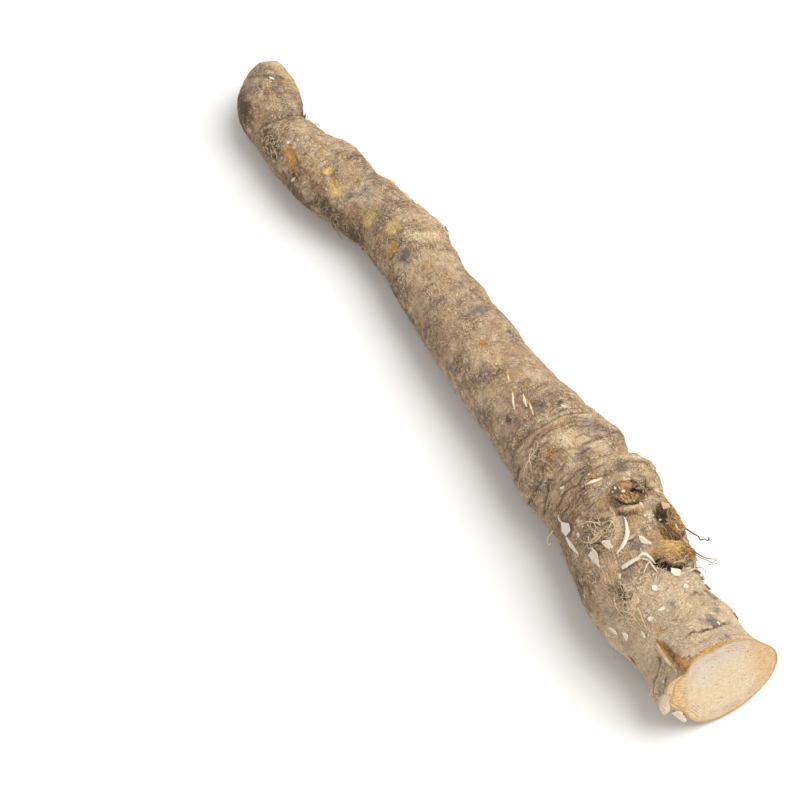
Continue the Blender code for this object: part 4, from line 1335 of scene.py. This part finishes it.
class Graph:
    """Short calls for a material's nodes. Each returns an output socket."""

    def __init__(self, name):
        self.material = bpy.data.materials.new(name)
        self.material.use_nodes = True
        self.tree = self.material.node_tree
        self.shader = self.tree.nodes["Principled BSDF"]

    def link(self, value, socket):
        if isinstance(value, bpy.types.NodeSocket):
            self.tree.links.new(value, socket)
        else:
            socket.default_value = value

    def filled(self, node, given, output=0):
        """The node's output, once its inputs have what is given for them: sockets or values."""
        for name, value in given.items():
            self.link(value, node.inputs[name])
        return node.outputs[output]

    def attribute(self, name, output="Fac"):
        node = self.tree.nodes.new("ShaderNodeAttribute")
        node.attribute_name = name
        return node.outputs[output]

    def vector(self, operation, a, b, c=(0.0, 0.0, 0.0)):
        node = self.tree.nodes.new("ShaderNodeVectorMath")
        node.operation = operation
        return self.filled(node, {0: a, 1: b, 2: c})

    def along(self, vector, direction):
        """How far the vector reaches along a direction."""
        node = self.tree.nodes.new("ShaderNodeVectorMath")
        node.operation = "DOT_PRODUCT"
        return self.filled(node, {0: vector, 1: direction}, "Value")

    def calc(self, operation, a, b=0.0, c=0.0):
        node = self.tree.nodes.new("ShaderNodeMath")
        node.operation = operation
        return self.filled(node, {0: a, 1: b, 2: c})

    def noise(self, vector, scale, detail=3.0, roughness=0.55, output="Fac"):
        node = self.tree.nodes.new("ShaderNodeTexNoise")
        given = {"Vector": vector, "Scale": scale, "Detail": detail, "Roughness": roughness}
        return self.filled(node, given, output)

    def cells(self, vector, scale):
        node = self.tree.nodes.new("ShaderNodeTexVoronoi")
        return self.filled(node, {"Vector": vector, "Scale": scale}, "Distance")

    def bent(self, place, reach, *noise):
        """place moved by noise, by up to reach in mm each way."""
        return self.vector("MULTIPLY_ADD", self.noise(place, *noise, "Color"), (reach, reach, reach), place)

    def swayed(self, value, noise, amount):
        """value moved up and down by noise, by up to half the amount."""
        return self.calc("ADD", value, self.calc("MULTIPLY_ADD", noise, amount, -amount / 2))

    def between(self, value, low, high, out_low=0.0, out_high=1.0):
        """value carried smoothly from low..high to out_low..out_high, and held outside."""
        node = self.tree.nodes.new("ShaderNodeMapRange")
        node.interpolation_type = "SMOOTHSTEP"
        given = {"Value": value, "From Min": low, "From Max": high, "To Min": out_low, "To Max": out_high}
        return self.filled(node, given, "Result")

    def mix(self, factor, a, b):
        """The colours a and b mixed. The sockets go by number, as this node has several of each name."""
        node = self.tree.nodes.new("ShaderNodeMix")
        node.data_type = "RGBA"
        return self.filled(node, {0: factor, 6: a, 7: b}, 2)

    def over(self, base, colour, mask, low, high, share=1.0, within=None):
        """base with a colour laid over it, by up to share as mask goes from low to high, and times within."""
        level = self.between(mask, low, high, 0.0, share)
        if within is not None:
            level = self.calc("MULTIPLY", level, within)
        return self.mix(level, base, colour)

    def layered(self, base, layers):
        """base with layers laid over it in turn, each as in over: colour, mask, low, high, share, within."""
        for layer in layers:
            base = self.over(base, *layer)
        return base

    def bump(self, height, distance):
        node = self.tree.nodes.new("ShaderNodeBump")
        return self.filled(node, {"Distance": distance, "Height": height}, "Normal")


BARK_TAN = tint(218, 189, 154)
BARK_BROWN = tint(188, 156, 123)
CROWN_TAN = tint(232, 206, 172)
# CREASE darkens the bark's creases, partly as dirt and partly as painted shade, and makes the flesh's dark
# specks. GRAIN_LIGHT is painted light on the raised grain and the tops of the wrinkles.
CREASE = tint(86, 66, 49)
GRAIN_LIGHT = tint(236, 214, 182)
# Blotches of the bark, from the widest to the finest: scale, least and greatest noise, share, colour.
BLOTCHES = (
    (0.11, 0.50, 0.62, 0.75, tint(152, 133, 124)),
    (0.15, 0.51, 0.63, 0.65, tint(206, 166, 112)),
    (0.24, 0.54, 0.66, 0.60, tint(190, 150, 124)),
    (0.33, 0.52, 0.66, 0.75, tint(232, 208, 174)),
    (0.47, 0.56, 0.70, 0.50, tint(136, 112, 94)),
)
# Each mark's colour at its edge and at its middle.
MARK_COLOURS = {
    "cream": (tint(206, 174, 130), tint(236, 212, 172)),
    "yellow": (tint(194, 154, 92), tint(238, 205, 136)),
    "orange": (tint(176, 126, 76), tint(224, 168, 96)),
    "rust": (tint(180, 138, 106), tint(170, 118, 84)),
    "grey": (tint(156, 138, 124), tint(112, 104, 102)),
    # The dark mark: stains, and painted shade on the near flank and in the creases.
    "dark": (tint(134, 108, 82), tint(84, 67, 52)),
    # The eye and the side hollow: darker scar tissue with painted shade.
    "scar_and_shade": (tint(148, 112, 78), tint(108, 82, 62)),
    "bud": (tint(162, 124, 76), tint(208, 164, 104)),
    # Painted shade in the crevices and holes.
    "crevice_shade": (tint(62, 46, 34), tint(22, 16, 12)),
}
FLESH = tint(223, 205, 179)
FLESH_WARM = tint(217, 188, 146)
FLESH_ORANGE = tint(204, 154, 96)
FLESH_GREY = tint(206, 199, 184)
FLESH_RING = tint(182, 144, 126)
FLESH_SLICE = tint(236, 204, 154)


def flesh_colour(g, place):
    """Cream flesh with faint rings near its edge, orange along the rim, slice and far end, dark specks."""
    wander = g.noise(place, 0.35, 3.0)
    fibres = g.noise(g.vector("MULTIPLY", place, (1.0, 0.5, 1.2)), 1.3, 5.0, 0.7)
    depth = g.swayed(g.attribute("from_rim"), wander, 2.0)
    pale = g.swayed(g.along(place, (0.0, -0.5, 0.86)), g.noise(place, 0.12, 3.0), 16.0)
    rings = g.calc("SINE", g.calc("MULTIPLY", depth, 6.5))
    band = g.calc("MULTIPLY", g.between(depth, 0.8, 1.6), g.between(depth, 7.0, 3.0))
    patchy = g.calc("MULTIPLY", band, g.between(g.noise(place, 0.14, 2.0), 0.4, 0.5, 0.3, 1.0))
    far_end = g.swayed(g.along(place, (0.0, 1.0, 0.12)), wander, 6.0)
    near_end = g.swayed(g.along(place, (0.0, -1.0, -0.1)), wander, 9.0)
    sliced = g.swayed(g.attribute("sliced"), wander, 0.8)
    warm = g.over(FLESH_ORANGE, FLESH_WARM, fibres, 0.36, 0.58)
    raw = g.over(FLESH_ORANGE, FLESH_SLICE, fibres, 0.36, 0.58)
    return g.layered(g.over(FLESH_WARM, FLESH, fibres, 0.44, 0.56), (
        (FLESH_GREY, pale, 15.0, 29.0, 0.6),
        (FLESH_RING, rings, -0.2, 1.0, 1.0, patchy),
        (warm, depth, 2.2, 0.0, 0.9),
        (warm, far_end, 14.5, 20.5, 0.95),
        (raw, near_end, 2.0, 11.5, 0.85),
        (raw, sliced, 0.3, 1.0, 0.95),
        (FLESH_RING, g.noise(place, 2.4, 2.0, 0.6), 0.6, 0.7, 0.5),
        (CREASE, g.cells(place, 0.45), 0.16, 0.07, 0.8),
    ))


def wrinkles(g, place, stretch):
    """0 in the creases of a net of wrinkles, rising between them. stretch is how many there are to the mm."""
    found = g.noise(g.vector("MULTIPLY", place, stretch), 1.0, 2.0, 0.5)
    return g.calc("ABSOLUTE", g.calc("MULTIPLY_ADD", found, 2.0, -1.0))


# The bump of the bark: the level at which wrinkles stop rising, its height in metres, how much of it the wide
# wrinkles, the finer ones and the grain take, and the share of it that is left on the flesh.
WRINKLE_TOP = 0.22
BUMP_HEIGHT = 0.0006
WIDE_SHARE = 3.0
FINER_SHARE = 1.4
GRAIN_SHARE = 0.7
FLESH_BUMP = 0.2

BARK_ROUGHNESS = 0.86
FLESH_ROUGHNESS = 0.62
SPECULAR = 0.3


def bark_material():
    """Tan bark with its blotches, wrinkles and marks, painted shade and light among them, and the flesh where
    it is cut.
    """
    g = Graph("bark_and_flesh")
    place = g.attribute("place", "Vector")
    height = g.attribute("height")
    to_cut = g.attribute("to_cut")
    bent = g.bent(place, 5.0, 0.22, 3.0, 0.6)
    swung = g.bent(place, 2.4, 0.3, 2.0, 0.5)
    ragged = g.noise(place, 0.5, 4.0, 0.65)
    fine = g.noise(place, 2.2, 2.0, 0.6)
    crease = g.calc("MINIMUM", wrinkles(g, swung, (0.8, 0.18, 0.18)), wrinkles(g, swung, (0.13, 0.7, 0.7)))
    finer = wrinkles(g, swung, (1.6, 0.6, 0.6))
    # worn: noisy patches, fewer near the cut, in which the wrinkles are coloured: dirt and painted shade in
    # their creases, painted light on their tops.
    worn = g.calc("MULTIPLY", g.between(g.noise(place, 0.11, 3.0), 0.42, 0.6, 0.12, 1.0),
                  g.between(to_cut, 24, 50, 0.4, 1.0))
    colour = g.over(BARK_BROWN, BARK_TAN, g.noise(bent, 0.07, 2.0), 0.38, 0.6)
    for scale, low, high, share, blotch in BLOTCHES:
        colour = g.over(colour, blotch, g.noise(bent, scale, 4.0, 0.65), low, high, share)
    # The crown is paler. The grooves, the low grain and the creases of the wrinkles are darkened, partly as
    # dirt and partly as painted shade, and the raised grain and fine wrinkles are lightened as painted light.
    colour = g.layered(colour, (
        (CROWN_TAN, to_cut, 46, 26, 0.7),
        (CREASE, g.attribute("groove"), 0.12, 0.8, 0.7),
        (CREASE, height, -0.1, -0.55, 0.5),
        (GRAIN_LIGHT, height, 0.08, 0.45, 0.4),
        (CREASE, crease, 0.11, 0.02, 0.5, worn),
        (GRAIN_LIGHT, finer, 0.2, 0.45, 0.45, worn),
    ))
    # The marks, among them painted shade on the near flank, in the creases and crevices, and in the eye and
    # hollow.
    for mark in MARKS:
        edge, middle = MARK_COLOURS[mark]
        level = g.swayed(g.swayed(g.attribute(mark), ragged, 1.7), fine, 1.1)
        colour = g.over(colour, g.over(edge, middle, level, 0.35, 0.95), level, 0.2, 0.7, 0.92)
    # Again painted shade in the creases of the wrinkles and the pits of the fine grain, and painted light on
    # its tops, which the bump follows too; then the bark turns orange next to the cut.
    colour = g.layered(colour, (
        (CREASE, crease, 0.08, 0.01, 0.38, worn),
        (CREASE, finer, 0.1, 0.0, 0.42, worn),
        (CREASE, fine, 0.44, 0.26, 0.6),
        (GRAIN_LIGHT, fine, 0.58, 0.76, 0.55),
        (FLESH_ORANGE, to_cut, 0.9, 0.2, 0.9),
    ))
    flesh = g.between(g.attribute("flesh"), 0.4, 0.6)
    g.link(g.mix(flesh, colour, flesh_colour(g, place)), g.shader.inputs["Base Color"])
    g.link(g.between(flesh, 0.0, 1.0, BARK_ROUGHNESS, FLESH_ROUGHNESS), g.shader.inputs["Roughness"])
    g.shader.inputs["Specular IOR Level"].default_value = SPECULAR
    wide = g.calc("MULTIPLY", g.calc("MINIMUM", crease, WRINKLE_TOP), WIDE_SHARE)
    grain = g.calc("MULTIPLY", fine, GRAIN_SHARE)
    narrow = g.calc("MULTIPLY_ADD", g.calc("MINIMUM", finer, WRINKLE_TOP), FINER_SHARE, grain)
    rise = g.calc("MULTIPLY", g.calc("ADD", wide, narrow), g.between(flesh, 0.0, 1.0, 1.0, FLESH_BUMP))
    g.link(g.bump(rise, BUMP_HEIGHT), g.shader.inputs["Normal"])
    return g.material


def fibre_material(name, dark, light, roughness):
    """Fibres, chips and hairs: a tone from dark to light for each, with streaks along it."""
    g = Graph(name)
    run = g.attribute("run", "Vector")
    grain = g.noise(g.vector("MULTIPLY", run, (0.25, 1.5, 1.0)), 1.4, 3.0)
    tone = g.swayed(g.attribute("tone"), grain, 1.8)
    g.link(g.mix(g.between(tone, 0.0, 1.0), dark, light), g.shader.inputs["Base Color"])
    g.shader.inputs["Roughness"].default_value = roughness
    g.shader.inputs["Specular IOR Level"].default_value = SPECULAR
    return g.material


# The floor's half width and where the lights stand, in metres: name, place, size, energy in watts.
FLOOR_HALF = 3.0
FLOOR_COLOUR = tint(244, 243, 241)
FLOOR_ROUGHNESS = 0.9
LIGHTS = (
    ("key", (0.22, 0.62, 1.10), 1.3, 20.4),
    ("fill", (1.0, -0.5, 0.55), 0.9, 1.6),
)
WORLD_STRENGTH = 0.57


def floor_and_lights():
    """A plain pale floor, a large soft key from above the far side, and a soft fill from the near side."""
    mesh = bpy.data.meshes.new("floor")
    corners = ((-1, -1, 0), (1, -1, 0), (1, 1, 0), (-1, 1, 0))
    mesh.from_pydata((np.array(corners) * FLOOR_HALF).tolist(), [], [(0, 1, 2, 3)])
    g = Graph("pale_floor")
    g.shader.inputs["Base Color"].default_value = FLOOR_COLOUR
    g.shader.inputs["Roughness"].default_value = FLOOR_ROUGHNESS
    shown("floor", mesh, g.material)
    for name, place, size, energy in LIGHTS:
        light = bpy.data.lights.new(name, "AREA")
        light.shape = "SQUARE"
        light.size = size
        light.energy = energy
        lamp = bpy.data.objects.new(name, light)
        lamp.location = place
        lamp.rotation_euler = Vector(place).to_track_quat("Z", "Y").to_euler()
        bpy.context.scene.collection.objects.link(lamp)
    world = bpy.data.worlds.new("studio")
    world.use_nodes = True
    sky = world.node_tree.nodes["Background"]
    sky.inputs["Color"].default_value = (1.0, 1.0, 1.0, 1.0)
    sky.inputs["Strength"].default_value = WORLD_STRENGTH
    bpy.context.scene.world = world
    bpy.context.scene.view_settings.view_transform = "Standard"


def camera():
    lens = bpy.data.cameras.new("camera")
    lens.lens = CAMERA_LENS
    lens.sensor_width = CAMERA_SENSOR
    made = bpy.data.objects.new("camera", lens)
    turn, lift = np.radians(CAMERA_AZIMUTH), np.radians(CAMERA_ELEVATION)
    back = Vector((np.sin(turn) * np.cos(lift), -np.cos(turn) * np.cos(lift), np.sin(lift)))
    made.location = Vector(CAMERA_TARGET) + back * CAMERA_DISTANCE
    made.rotation_euler = back.to_track_quat("Z", "Y").to_euler()
    bpy.context.scene.collection.objects.link(made)
    bpy.context.scene.camera = made


def main():
    camera()
    floor_and_lights()
    skin = Skin()
    root = root_piece(skin, bark_material())
    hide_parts("root")
    cream = fibre_material("shaved_flesh", tint(186, 150, 108), tint(228, 218, 198), 0.6)
    brown = fibre_material("torn_bark", tint(84, 66, 50), tint(214, 186, 146), 0.85)
    hair = fibre_material("rootlet", tint(86, 66, 50), tint(232, 207, 170), 0.75)
    amber = fibre_material("bud_fibre", tint(112, 78, 42), tint(232, 194, 134), 0.75)
    pieces = [
        root,
        shavings_piece(skin, cream),
        torn_piece(skin, brown),
        rootlets_piece(skin, hair),
        tufts_piece(skin, "scar_fibres", TUFTS, hair, SCATTER_SEED + 2),
        tufts_piece(skin, "bud_fibres", AMBER_TUFTS, amber, SCATTER_SEED + 3),
        fuzz_piece(skin, hair),
    ]
    for piece in pieces:
        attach(piece, "root")


main()
